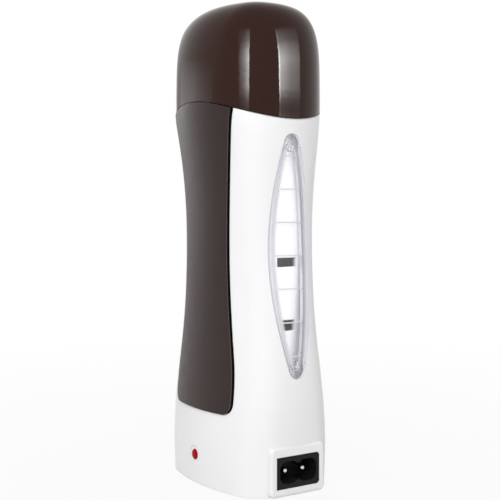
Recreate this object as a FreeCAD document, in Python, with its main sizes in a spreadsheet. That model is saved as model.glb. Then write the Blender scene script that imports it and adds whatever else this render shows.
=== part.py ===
"""Roll-on wax heater: a hand-held warmer that a wax cartridge drops into.

Units are millimetres.  +Z is up, the front face looks along -Y, and the origin
is the centre of the footprint on the surface that the heater stands on.

The casing is an hourglass: every skin of it is a loft through oval sections
whose sizes are in the spreadsheet.  A skin that lies inside or outside the
casing's own surface uses the same sections, grown by a named distance.
"""
import FreeCAD, Part
import math
import os
import Sketcher
from FreeCAD import Placement, Rotation, Vector

# ---------------------------------------------------------------- driving sizes

# Oval sections of the casing from the foot to the rim.
# name: height, half width, half depth, front radius, side radius, corner radius
STATIONS = {
    "foot": (0.3, 35.2, 24.5, 86, 50, 15.5),
    "plinth": (16, 36.0, 25.0, 78, 47, 14.8),
    "hip": (34, 36.5, 24.6, 68, 42, 14.5),
    "taper": (54, 35.1, 23.3, 59, 37, 14.2),
    "low_waist": (76, 32.6, 22.3, 52, 33, 14),
    "waist": (97, 31.0, 22.0, 51, 31, 14.2),
    "high_waist": (118, 31.2, 22.5, 53, 30, 14.6),
    "shoulder": (139, 32.3, 24.4, 57, 29.5, 15.2),
    "rim": (158, 31.0, 27.0, 60, 29, 15.5),
}
STATION_FIELDS = ("height", "half_width", "half_depth", "front_radius", "side_radius", "corner_radius")

# Single sizes, one spreadsheet cell each.
SIZES = {
    # casing shell and the fits of what is fixed into it
    "reach": 60.0,
    "wall": 2.0,
    "seat_depth": 1.0,
    "fit_gap": 0.15,
    "parting_gap": 0.3,
    # arched parting line between casing and cap
    "arch_peak": 155.7,
    "arch_radius": 69.0,
    # cap
    "cap_skirt_height": 145.0,
    "cap_half_width": 31.6,
    "cap_half_depth": 27.3,
    "cap_front_radius": 60.0,
    "cap_side_radius": 29.0,
    "cap_corner_radius": 15.5,
    "dome_start": 154.0,
    "cap_top": 197.2,
    "dome_width_power": 4.7,
    "dome_depth_power": 3.7,
    "cap_wall": 2.0,
    "cap_rib_offset": 12.0,
    "cap_rib_thickness": 1.2,
    "cap_rib_bottom": 156.5,
    "cap_rib_top": 170.0,
    # collar that closes the casing around the well and guides the cap
    "collar_bottom": 144.5,
    "collar_thickness": 3.0,
    "spigot_half_width": 28.2,
    "spigot_half_depth": 22.5,
    "spigot_front_radius": 55.0,
    "spigot_side_radius": 27.0,
    "spigot_corner_radius": 13.0,
    "spigot_top": 166.0,
    "spigot_wall": 1.5,
    # front and rear panels
    "panel_gap": 0.4,
    "panel_stand_out": 0.8,
    "panel_bottom": 31.2,
    "panel_top": 175.0,
    "panel_waist_height": 98.0,
    "panel_waist_half_width": 15.9,
    "panel_side_radius": 250.0,
    "panel_hip_height": 38.0,
    "panel_hip_radius": 92.3,
    "panel_corner_radius": 4.5,
    "rear_panel_inset": 3.0,
    "peg_radius": 1.2,
    "peg_offset": 9.0,
    "low_peg_height": 42.0,
    "high_peg_height": 138.0,
    # side windows
    "window_height": 93.9,
    "window_half_width": 9.7,
    "window_side_radius": 175.0,
    "window_tip_radius": 3.8,
    "lens_gap": 0.25,
    "lens_crown": 0.3,
    "lens_rim": 2.75,
    "lens_hollow_tip_radius": 2.0,
    "lens_flange": 2.0,
    "lens_flange_thickness": 1.0,
    "lens_post_radius": 1.3,
    "lens_post_offset": 42.5,
    "mark_pitch": 13.2,
    "mark_height": 0.5,
    "mark_thickness": 0.25,
    # well for the cartridge
    "well_offset": 1.0,
    "well_half_width": 24.5,
    "well_half_depth": 14.3,
    "well_corner": 11.5,
    "sleeve_wall": 1.5,
    "sleeve_bottom": 38.0,
    "sleeve_floor": 2.0,
    "high_slot_height": 91.0,
    "high_slot_y": 1.85,
    "high_slot_length": 9.7,
    "high_slot_width": 3.7,
    "low_slot_height": 65.6,
    "low_slot_y": 2.5,
    "low_slot_length": 7.0,
    "low_slot_width": 4.4,
    # heater stack behind the well
    "heater_plate_half_width": 12.4,
    "heater_plate_bottom": 46.0,
    "heater_plate_margin": 5.7,
    "heater_plate_thickness": 2.0,
    "stone_half_width": 8.0,
    "stone_height": 11.0,
    "stone_thickness": 2.1,
    "stone_gap": 1.0,
    "stack_bottom": 52.0,
    "foil_thickness": 0.3,
    "electrode_tab_width": 4.0,
    "electrode_tab_length": 5.0,
    "electrode_tab_offset": 5.0,
    "clip_thickness": 0.5,
    "clip_foot": 3.2,
    "clip_clearance": 0.4,
    "clip_height": 12.0,
    "strap_height": 5.0,
    "fuse_rise": 11.5,
    "fuse_radius": 1.25,
    "fuse_length": 9.0,
    "fuse_lead_radius": 0.35,
    "fuse_lead_length": 4.5,
    "splice_radius": 1.3,
    "splice_half_length": 2.0,
    "sleeving_thickness": 0.45,
    "clip_screw_radius": 0.8,
    "clip_screw_length": 2.1,
    "clip_screw_head_radius": 1.4,
    "clip_screw_head_height": 1.0,
    # base plate, its screws and the feet
    "plate_thickness": 2.5,
    "boss_x": 25.2,
    "boss_y": 14.0,
    "boss_radius": 4.4,
    "boss_height": 15.0,
    "base_screw_radius": 1.5,
    "base_screw_length": 13.0,
    "base_screw_head_radius": 2.8,
    "base_screw_head_height": 1.6,
    "base_screw_sink": 0.2,
    "thread_gap": 0.05,
    "foot_x": 16.0,
    "foot_y": 15.0,
    "foot_radius": 4.5,
    "foot_pocket_depth": 1.2,
    "foot_edge": 0.3,
    "pillar_x": 12.0,
    "pillar_y": 10.3,
    "pillar_radius": 3.2,
    "sleeve_screw_radius": 1.4,
    "sleeve_screw_length": 9.0,
    "screw_end_room": 1.0,
    "sleeve_screw_head_radius": 2.6,
    "sleeve_screw_head_height": 1.2,
    # mains inlet: two-pole appliance inlet in a flat pad on the right side
    "inlet_height": 9.75,
    "inlet_face": 36.3,
    "inlet_half_width": 10.15,
    "inlet_half_height": 6.1,
    "inlet_chamfer": 0.9,
    "inlet_flange": 1.4,
    "inlet_body_inset": 0.75,
    "barb_outset": 0.7,
    "barb_half_height": 2.5,
    "barb_depth": 4.1,
    "barb_length": 1.8,
    "inlet_depth": 15.0,
    "recess_depth": 9.5,
    "recess_half_width": 4.5,
    "recess_half_height": 4.35,
    "recess_corner": 3.2,
    "recess_waist": 3.3,
    "pin_pitch": 8.6,
    "pin_radius": 1.18,
    "pin_root_radius": 1.0,
    "pin_root_stand_out": 0.4,
    "pin_setback": 2.6,
    "tab_width": 4.8,
    "tab_thickness": 0.8,
    "tab_length": 7.0,
    "spade_length": 7.0,
    "spade_width": 5.6,
    "spade_height": 2.4,
    "spade_clearance": 0.5,
    "barrel_length": 4.0,
    "barrel_width": 4.0,
    "bore_offset": 0.9,
    "pad_face": 36.3,
    "pad_half_width": 12.9,
    "pad_bottom": 0.4,
    "pad_top": 19.8,
    "pad_corner": 2.0,
    "pad_edge": 1.1,
    # indicator
    "indicator_x": -1.7,
    "indicator_height": 11.8,
    "indicator_radius": 2.0,
    "indicator_ring_radius": 3.6,
    "indicator_ring_depth": 0.35,
    "indicator_flange_radius": 3.3,
    "indicator_flange_thickness": 1.0,
    "indicator_flange_room": 0.2,
    "indicator_length": 6.4,
    "indicator_stand_out": 0.25,
    "lamp_radius": 1.5,
    "lamp_rim_radius": 1.9,
    "lamp_rim_thickness": 0.8,
    "lamp_gap": 0.3,
    "board_thickness": 1.6,
    "board_half_width": 9.8,
    "board_front": 14.0,
    "board_top": 20.0,
    "board_post_width": 2.5,
    "board_post_depth": 4.4,
    "board_post_height": 11.0,
    "board_post_overlap": 0.5,
    "resistor_radius": 1.4,
    "resistor_length": 7.0,
    "resistor_height": 15.5,
    "resistor_room": 0.3,
    "resistor_leg_radius": 0.3,
    "resistor_leg_length": 1.5,
    # internal leads
    "lead_radius": 0.8,
    "lead_bend": 3.0,
    "thin_lead_radius": 0.5,
    "thin_lead_bend": 1.2,
    "lead_grip": 3.0,
    "neutral_turn_x": 6.5,
    "neutral_riser_x": 13.9,
    "neutral_riser_y": 16.6,
    "line_turn_x": 3.5,
    "line_low_y": 18.9,
    "line_slope_top": 30.0,
    "line_riser_x": 16.2,
    "line_riser_y": 15.9,
    "line_bend_room": 4.5,
    "tab_weld_height": 2.8,
    "link_x": 12.6,
    "lamp_line_x": 7.4,
    "lamp_neutral_x": 8.4,
    "lamp_neutral_height": 14.0,
}

# Fractions of the dome's height at which its sections lie.
DOME_STEPS = (0.25, 0.45, 0.62, 0.76, 0.87, 0.94, 0.98, 0.996)
MARKS_EACH_SIDE = 3
# Cross slits in the screws: shares of the head's radius, and the depth as a share of its height.
SLIT_REACH, SLIT_HALF_WIDTH, SLIT_DEPTH = 0.6, 0.14, 0.6

doc = FreeCAD.newDocument("roll_on_wax_heater")
sheet = doc.addObject("Spreadsheet::Sheet", "Sizes")
numbers = {}


def fill_sheet():
    """Give each driving size its own cell and alias."""
    rows = []
    for station, values in STATIONS.items():
        rows += [(f"{station}_{field}", value) for field, value in zip(STATION_FIELDS, values)]
    rows += list(SIZES.items())
    for row, (alias, value) in enumerate(rows, start=1):
        sheet.set(f"A{row}", alias)
        sheet.set(f"B{row}", str(value))
        sheet.setAlias(f"B{row}", alias)
        numbers[alias] = float(value)
    doc.recompute()


class Size:
    """A length together with the spreadsheet formula that it comes from."""

    def __init__(self, value, formula):
        self.value = value
        self.formula = formula

    def __add__(self, other):
        return Size(self.value + other.value, f"({self.formula} + {other.formula})")

    def __sub__(self, other):
        return Size(self.value - other.value, f"({self.formula} - {other.formula})")

    def __neg__(self):
        return Size(-self.value, f"(-{self.formula})")

    def times(self, other):
        return Size(self.value * other.value, f"({self.formula} * {other.formula})")

    def part(self, factor):
        return Size(self.value * factor, f"({self.formula} * {factor})")


ZERO = Size(0.0, "0")
AXIS_TURNS = {
    "x": Rotation(Vector(1, 1, 1), 120),
    "y": Rotation(Vector(1, 0, 0), -90),
    "z": Rotation(),
}


def cell(alias):
    """The size held in one spreadsheet cell."""
    return Size(numbers[alias], f"Sizes.{alias}")


def bind(thing, prop, size):
    thing.setExpression(prop, size.formula)


def place(thing, x=ZERO, y=ZERO, z=ZERO, turn=None):
    """Put an object at a point that follows the spreadsheet."""
    thing.Placement = Placement(Vector(x.value, y.value, z.value), turn or Rotation())
    for axis, size in zip("xyz", (x, y, z)):
        if size is not ZERO:
            bind(thing, f"Placement.Base.{axis}", size)
    return thing


# ---------------------------------------------------------------- solids and booleans

def box(name, low, high):
    """A block between two corners, each given as three sizes."""
    thing = doc.addObject("Part::Box", name)
    for prop, start, end in zip(("Length", "Width", "Height"), low, high):
        bind(thing, prop, end - start)
    return place(thing, *low)


def rod(name, start, radius, length, axis="z"):
    """A round bar from a point along +X, +Y or +Z."""
    thing = doc.addObject("Part::Cylinder", name)
    bind(thing, "Radius", radius)
    bind(thing, "Height", length)
    return place(thing, *start, turn=AXIS_TURNS[axis])


def fused(name, *things):
    thing = doc.addObject("Part::MultiFuse", name)
    thing.Shapes = list(things)
    return thing


def cut(name, base, *tools):
    thing = doc.addObject("Part::Cut", name)
    thing.Base = base
    thing.Tool = tools[0] if len(tools) == 1 else fused(f"{name}_tools", *tools)
    return thing


def common(name, base, tool):
    thing = doc.addObject("Part::Common", name)
    thing.Base = base
    thing.Tool = tool
    return thing


def mirrored(name, source, normal):
    thing = doc.addObject("Part::Mirroring", name)
    thing.Source = source
    thing.Normal = normal
    return thing


def group_of_solids(name, *things):
    """Separate solids that are kept together as one piece's file."""
    thing = doc.addObject("Part::Compound", name)
    thing.Links = list(things)
    return thing


def extruded(name, sketch, forward, backward=ZERO):
    """A sketch drawn out along its own normal."""
    thing = doc.addObject("Part::Extrusion", name)
    thing.Base = sketch
    thing.DirMode = "Normal"
    thing.Solid = True
    bind(thing, "LengthFwd", forward)
    if backward is not ZERO:
        bind(thing, "LengthRev", backward)
    return thing


# ---------------------------------------------------------------- sketches

def constrain(sketch, name, kind, *where_and_size):
    """Add a dimension whose value follows the spreadsheet."""
    *where, size = where_and_size
    index = sketch.addConstraint(Sketcher.Constraint(kind, *where, size.value))
    sketch.renameConstraint(index, name)
    bind(sketch, f"Constraints.{name}", size)


def tie(sketch, *rules):
    """Add geometric rules such as tangents and equal radii."""
    for kind, *where in rules:
        sketch.addConstraint(Sketcher.Constraint(kind, *where))


def arc(centre_x, centre_y, radius, start, end):
    circle = Part.Circle(Vector(centre_x, centre_y, 0), Vector(0, 0, 1), radius)
    return Part.ArcOfCircle(circle, start, end)


def line(x1, y1, x2, y2):
    return Part.LineSegment(Vector(x1, y1, 0), Vector(x2, y2, 0))


class Oval:
    """Sizes of an outline of eight tangent arcs, symmetrical about both axes."""

    def __init__(self, half_width, half_depth, front_radius, side_radius, corner_radius):
        self.half_width = half_width
        self.half_depth = half_depth
        self.front_radius = front_radius
        self.side_radius = side_radius
        self.corner_radius = corner_radius

    def grown(self, by):
        return Oval(self.half_width + by, self.half_depth + by, self.front_radius + by,
                    self.side_radius + by, self.corner_radius + by)


def named_oval(prefix):
    """The oval whose five sizes are in the sheet under one prefix."""
    return Oval(*(cell(f"{prefix}_{field}") for field in STATION_FIELDS[1:]))


def oval_sketch(name, oval, height):
    """Draw an oval in a level plane: front, corner, side, corner, and so on round."""
    a, b = oval.half_width.value, oval.half_depth.value
    front, side, corner = oval.front_radius.value, oval.side_radius.value, oval.corner_radius.value
    # the corner's centre is where it touches both the front arc and the side arc
    front_y, side_x = front - b, a - side
    to_front, to_side = front - corner, side - corner
    apart = math.hypot(side_x, front_y)
    along = (apart ** 2 + to_front ** 2 - to_side ** 2) / (2 * apart)
    across = math.sqrt(to_front ** 2 - along ** 2)
    ux, uy = side_x / apart, -front_y / apart
    corner_x = ux * along - uy * across
    corner_y = front_y + uy * along + ux * across
    if corner_x < 0 or corner_y > 0:
        corner_x = ux * along + uy * across
        corner_y = front_y + uy * along - ux * across
    low = math.atan2(corner_y - front_y, corner_x)
    high = math.atan2(corner_y, corner_x - side_x)
    pi = math.pi
    sketch = doc.addObject("Sketcher::SketchObject", name)
    place(sketch, z=height)
    sketch.addGeometry([
        arc(0, front_y, front, -pi - low, low),
        arc(corner_x, corner_y, corner, low, high),
        arc(side_x, 0, side, high, -high),
        arc(corner_x, -corner_y, corner, -high, -low),
        arc(0, -front_y, front, -low, pi + low),
        arc(-corner_x, -corner_y, corner, pi + low, pi + high),
        arc(-side_x, 0, side, pi + high, pi - high),
        arc(-corner_x, corner_y, corner, pi - high, pi - low),
    ], False)
    sketch.addGeometry([Part.Point(Vector(x, y, 0)) for x, y in ((0, -b), (a, 0), (0, b), (-a, 0))], True)
    tie(sketch, *(("Tangent", i, 2, (i + 1) % 8, 1) for i in range(8)))
    tie(sketch, ("PointOnObject", 0, 3, -2), ("PointOnObject", 4, 3, -2))
    tie(sketch, ("PointOnObject", 2, 3, -1), ("PointOnObject", 6, 3, -1))
    tie(sketch, ("Equal", 0, 4), ("Equal", 2, 6), ("Equal", 1, 3), ("Equal", 1, 5), ("Equal", 1, 7))
    for point, (axis, edge) in enumerate(((-2, 0), (-1, 2), (-2, 4), (-1, 6)), start=8):
        tie(sketch, ("PointOnObject", point, 1, axis), ("PointOnObject", point, 1, edge))
    constrain(sketch, "front_radius", "Radius", 0, oval.front_radius)
    constrain(sketch, "side_radius", "Radius", 2, oval.side_radius)
    constrain(sketch, "corner_radius", "Radius", 1, oval.corner_radius)
    constrain(sketch, "to_front", "DistanceY", 8, 1, -1, 1, oval.half_depth)
    constrain(sketch, "to_right", "DistanceX", -1, 1, 9, 1, oval.half_width)
    constrain(sketch, "to_back", "DistanceY", -1, 1, 10, 1, oval.half_depth)
    constrain(sketch, "to_left", "DistanceX", 11, 1, -1, 1, oval.half_width)
    return sketch


def rectangle_sketch(name, half_width, half_height, corner):
    """A rounded rectangle about the sketch's origin."""
    a, b, r = half_width.value, half_height.value, corner.value
    pi = math.pi
    sketch = doc.addObject("Sketcher::SketchObject", name)
    sketch.addGeometry([
        line(-a + r, -b, a - r, -b), arc(a - r, -b + r, r, -pi / 2, 0),
        line(a, -b + r, a, b - r), arc(a - r, b - r, r, 0, pi / 2),
        line(a - r, b, -a + r, b), arc(-a + r, b - r, r, pi / 2, pi),
        line(-a, b - r, -a, -b + r), arc(-a + r, -b + r, r, pi, 3 * pi / 2),
    ], False)
    tie(sketch, *(("Tangent", i, 2, (i + 1) % 8, 1) for i in range(8)))
    tie(sketch, ("Horizontal", 0), ("Vertical", 2), ("Horizontal", 4), ("Vertical", 6))
    tie(sketch, ("Equal", 1, 3), ("Equal", 1, 5), ("Equal", 1, 7))
    constrain(sketch, "corner", "Radius", 1, corner)
    constrain(sketch, "to_bottom", "DistanceY", 0, 1, -1, 1, half_height)
    constrain(sketch, "to_right", "DistanceX", -1, 1, 2, 1, half_width)
    constrain(sketch, "to_top", "DistanceY", -1, 1, 4, 1, half_height)
    constrain(sketch, "to_left", "DistanceX", 6, 1, -1, 1, half_width)
    return sketch


def window_sketch(name, half, side, tip):
    """A pointed window outline: two long arcs joined by small tip arcs."""
    offset = side - half
    reach = math.sqrt((side.value - tip.value) ** 2 - offset.value ** 2)
    lean = math.atan2(reach, offset.value)
    pi = math.pi
    sketch = doc.addObject("Sketcher::SketchObject", name)
    place(sketch, z=cell("window_height"), turn=AXIS_TURNS["x"])
    sketch.addGeometry([
        arc(-offset.value, 0, side.value, -lean, lean),
        arc(0, reach, tip.value, lean, pi - lean),
        arc(offset.value, 0, side.value, pi - lean, pi + lean),
        arc(0, -reach, tip.value, pi + lean, 2 * pi - lean),
    ], False)
    tie(sketch, *(("Tangent", i, 2, (i + 1) % 4, 1) for i in range(4)))
    tie(sketch, ("Equal", 0, 2), ("Equal", 1, 3), ("PointOnObject", 0, 3, -1), ("PointOnObject", 2, 3, -1))
    constrain(sketch, "side", "Radius", 0, side)
    constrain(sketch, "tip", "Radius", 1, tip)
    constrain(sketch, "right_offset", "DistanceX", 0, 3, -1, 1, offset)
    constrain(sketch, "left_offset", "DistanceX", -1, 1, 2, 3, offset)
    return sketch


def panel_sketch(name, grow):
    """The panel outline: hollow sides, full hips, rounded lower corners and an open top."""
    side = cell("panel_side_radius") - grow
    hip = cell("panel_hip_radius") + grow
    corner = cell("panel_corner_radius") + grow
    bottom = cell("panel_bottom") - grow
    side_x = cell("panel_waist_half_width") + cell("panel_side_radius")
    middle, hip_height, top = cell("panel_waist_height"), cell("panel_hip_height"), cell("panel_top")
    # each arc's centre is where it touches the arc above it
    drop = middle.value - hip_height.value
    hip_x = side_x.value - math.sqrt((side.value + hip.value) ** 2 - drop ** 2)
    corner_y = bottom.value + corner.value
    corner_x = hip_x + math.sqrt((hip.value - corner.value) ** 2 - (hip_height.value - corner_y) ** 2)
    lean = math.atan2(drop, side_x.value - hip_x)
    heel = math.atan2(corner_y - hip_height.value, corner_x - hip_x)
    tilt = math.asin((top.value - middle.value) / side.value)
    top_x = side_x.value - side.value * math.cos(tilt)
    pi = math.pi
    sketch = doc.addObject("Sketcher::SketchObject", name)
    place(sketch, turn=Rotation(Vector(1, 0, 0), 90))
    sketch.addGeometry([
        line(-corner_x, bottom.value, corner_x, bottom.value),
        arc(corner_x, corner_y, corner.value, -pi / 2, heel),
        arc(hip_x, hip_height.value, hip.value, heel, lean),
        arc(side_x.value, middle.value, side.value, pi - tilt, pi + lean),
        line(top_x, top.value, -top_x, top.value),
        arc(-side_x.value, middle.value, side.value, -lean, tilt),
        arc(-hip_x, hip_height.value, hip.value, pi - lean, pi - heel),
        arc(-corner_x, corner_y, corner.value, pi - heel, 3 * pi / 2),
    ], False)
    tie(sketch, ("Tangent", 0, 2, 1, 1), ("Tangent", 1, 2, 2, 1), ("Tangent", 2, 2, 3, 2))
    tie(sketch, ("Coincident", 3, 1, 4, 1), ("Coincident", 4, 2, 5, 2), ("Tangent", 5, 1, 6, 1))
    tie(sketch, ("Tangent", 6, 2, 7, 1), ("Tangent", 7, 2, 0, 1), ("Horizontal", 0), ("Horizontal", 4))
    tie(sketch, ("Equal", 1, 7), ("Equal", 2, 6), ("Equal", 3, 5))
    constrain(sketch, "corner", "Radius", 1, corner)
    constrain(sketch, "hip", "Radius", 2, hip)
    constrain(sketch, "side", "Radius", 3, side)
    constrain(sketch, "right_hip_height", "DistanceY", -1, 1, 2, 3, hip_height)
    constrain(sketch, "left_hip_height", "DistanceY", -1, 1, 6, 3, hip_height)
    constrain(sketch, "right_x", "DistanceX", -1, 1, 3, 3, side_x)
    constrain(sketch, "right_y", "DistanceY", -1, 1, 3, 3, middle)
    constrain(sketch, "left_x", "DistanceX", 5, 3, -1, 1, side_x)
    constrain(sketch, "left_y", "DistanceY", -1, 1, 5, 3, middle)
    constrain(sketch, "bottom", "DistanceY", -1, 1, 0, 1, bottom)
    constrain(sketch, "top", "DistanceY", -1, 1, 4, 1, top)
    return sketch


# ---------------------------------------------------------------- part design bodies

def new_body(name):
    return doc.addObject("PartDesign::Body", name)


def origin_plane(body, role):
    return next(plane for plane in body.Origin.OriginFeatures if plane.Role == role)


def polygon(body, name, role, points):
    """A closed profile of straight lines whose corners follow the spreadsheet."""
    sketch = body.newObject("Sketcher::SketchObject", name)
    sketch.AttachmentSupport = (origin_plane(body, role), [""])
    sketch.MapMode = "FlatFace"
    count = len(points)
    ends = points[1:] + points[:1]
    sketch.addGeometry([line(p[0].value, p[1].value, q[0].value, q[1].value) for p, q in zip(points, ends)])
    tie(sketch, *(("Coincident", i, 2, (i + 1) % count, 1) for i in range(count)))
    for i, (x, y) in enumerate(points):
        for kind, axis, size in (("DistanceX", -2, x), ("DistanceY", -1, y)):
            if size.value == 0:
                tie(sketch, ("PointOnObject", i, 1, axis))
            elif size.value > 0:
                constrain(sketch, f"{kind}_{i}", kind, -1, 1, i, 1, size)
            else:
                constrain(sketch, f"{kind}_{i}", kind, i, 1, -1, 1, -size)
    return sketch


def turned(name, profile):
    """A body turned about Z from a profile of (radius, height) corners."""
    body = new_body(name)
    sketch = polygon(body, f"{name}_profile", "XZ_Plane", profile)
    turn = body.newObject("PartDesign::Revolution", f"{name}_turn")
    turn.Profile = sketch
    turn.ReferenceAxis = (sketch, ["V_Axis"])
    turn.Angle = 360
    return body


# ---------------------------------------------------------------- skins of the casing

def loft(name, sketches):
    thing = doc.addObject("Part::Loft", name)
    thing.Sections = sketches
    thing.Solid = True
    thing.Ruled = False
    return thing


def casing_skin(name, grow):
    """The whole casing's form, grown by a distance (or shrunk, if it is negative)."""
    sections = []
    for station in STATIONS:
        oval = named_oval(station).grown(grow)
        sections.append(oval_sketch(f"{name}_{station}", oval, cell(f"{station}_height")))
    return loft(name, sections)


def cap_skin(name, inset):
    """The cap's form: a straight skirt that closes into a rounded dome."""
    oval = named_oval("cap").grown(-inset)
    top = cell("cap_top") - inset
    start = cell("dome_start")
    sections = [oval_sketch(f"{name}_skirt", oval, cell("cap_skirt_height") - inset),
                oval_sketch(f"{name}_start", oval, start)]
    for step in DOME_STEPS:
        shares = []
        for field in ("width", "depth"):
            power = cell(f"dome_{field}_power")
            value = (1 - step ** power.value) ** (1 / power.value)
            formula = f"((1 - {step} ^ {power.formula}) ^ (1 / {power.formula}))"
            shares.append(Size(value, formula))
        wide, deep = shares
        smaller = Oval(oval.half_width.times(wide), oval.half_depth.times(deep),
                       oval.front_radius.times(deep), oval.side_radius.times(wide),
                       oval.corner_radius.times(deep))
        height = start + (top - start).part(step)
        sections.append(oval_sketch(f"{name}_dome_{int(step * 1000)}", smaller, height))
    return loft(name, sections)


def above_arch(name, gap):
    """Everything above the arched parting line, lifted by a gap."""
    reach = cell("reach")
    radius = cell("arch_radius") + gap
    centre = cell("arch_peak") - cell("arch_radius")
    low = cell("arch_peak") - reach.part(0.5)
    block = box(f"{name}_block", (-reach, -reach, low), (reach, reach, cell("cap_top") + reach))
    drum = rod(f"{name}_drum", (ZERO, -reach, centre), radius, reach.part(2), "y")
    return cut(name, block, drum)


def slab(name, bottom, top):
    """A level slice wider than the casing."""
    reach = cell("reach")
    return box(name, (-reach, -reach, bottom), (reach, reach, top))


def make_skins():
    """The casing's own surface and the surfaces that lie inside and outside it."""
    skins = {
        "casing": casing_skin("casing_skin", ZERO),
        "panel": casing_skin("panel_skin", cell("panel_stand_out")),
        "lens": casing_skin("lens_skin", cell("lens_crown")),
        "seat": casing_skin("seat_skin", -cell("seat_depth")),
        "inside": casing_skin("inside_skin", -cell("wall")),
        "flange": casing_skin("flange_skin", -(cell("wall") + cell("lens_flange_thickness"))),
        "marks": casing_skin("marks_skin", -(cell("seat_depth") + cell("mark_thickness"))),
    }
    skins["above"] = above_arch("above_casing", ZERO)
    return skins


# ---------------------------------------------------------------- casing

def panel_prism(name, grow):
    """The panel outline drawn through the front half of the casing."""
    return extruded(name, panel_sketch(f"{name}_outline", grow), cell("reach"))


def window_prism(name, grow):
    """The window outline, grown by a distance, drawn through the right half of the casing."""
    half, side = cell("window_half_width") + grow, cell("window_side_radius") + grow
    outline = window_sketch(f"{name}_outline", half, side, cell("window_tip_radius") + grow)
    return extruded(name, outline, cell("reach"))


def hollow_prism(name):
    """The outline of the hollow behind a lens, one rim inside the lens's edge and tips."""
    window_half, window_side = cell("window_half_width"), cell("window_side_radius")
    window_tip, tip = cell("window_tip_radius"), cell("lens_hollow_tip_radius")
    inset = cell("lens_gap") + cell("lens_rim")
    half = window_half - inset
    # from the middle to the centre of the hollow's tip arc
    across, along = window_side - window_tip, window_side - window_half
    rise = Size(math.sqrt(across.value ** 2 - along.value ** 2),
                f"sqrt({across.formula} ^ 2 - {along.formula} ^ 2)") + window_tip - inset - tip
    wide = half - tip
    side = Size((half.value ** 2 - tip.value ** 2 + rise.value ** 2) / (2 * wide.value),
                f"(({half.formula} ^ 2 - {tip.formula} ^ 2 + {rise.formula} ^ 2) / (2 * {wide.formula}))")
    return extruded(name, window_sketch(f"{name}_outline", half, side, tip), cell("reach"))


def panel_pegs(name, grow):
    """Pegs that locate the front panel, or the holes for them."""
    radius = cell("peg_radius") + grow
    reach = cell("reach")
    pegs = []
    for level in ("low_peg_height", "high_peg_height"):
        for side, x in (("left", -cell("peg_offset")), ("right", cell("peg_offset"))):
            pegs.append(rod(f"{name}_{level}_{side}", (x, -reach, cell(level)), radius, reach, "y"))
    return fused(name, *pegs)


def inlet_block(name, start, end, grow):
    """A block along X with the inlet's outline, grown by a distance."""
    across, up = cell("inlet_half_width") + grow, cell("inlet_half_height") + grow
    height = cell("inlet_height")
    return box(name, (start, -across, height - up), (end, across, height + up))


def bevelled_block(name, start, end, grow):
    """The same block with the two corners on its polarised side bevelled."""
    block = inlet_block(f"{name}_block", start, end, grow)
    size, height = cell("inlet_chamfer"), cell("inlet_height")
    across, up = cell("inlet_half_width") + grow, cell("inlet_half_height") + grow
    side = size.part(math.sqrt(2))
    bars = []
    corners = (("low", across, height - up + size, -135), ("high", across - size, height + up, -45))
    for corner, y, z, angle in corners:
        bar = box(f"{name}_bevel_{corner}", (ZERO, ZERO, ZERO), (cell("reach"), side, side))
        bars.append(place(bar, ZERO, y, z, Rotation(Vector(1, 0, 0), angle)))
    return cut(name, block, *bars)


def corner_spots(name, x, y):
    """The four corners of a rectangle about the Z axis, each with a name."""
    signs = (("front_left", -x, -y), ("front_right", x, -y), ("rear_right", x, y), ("rear_left", -x, y))
    return [(f"{name}_{corner}", across, along) for corner, across, along in signs]


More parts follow.
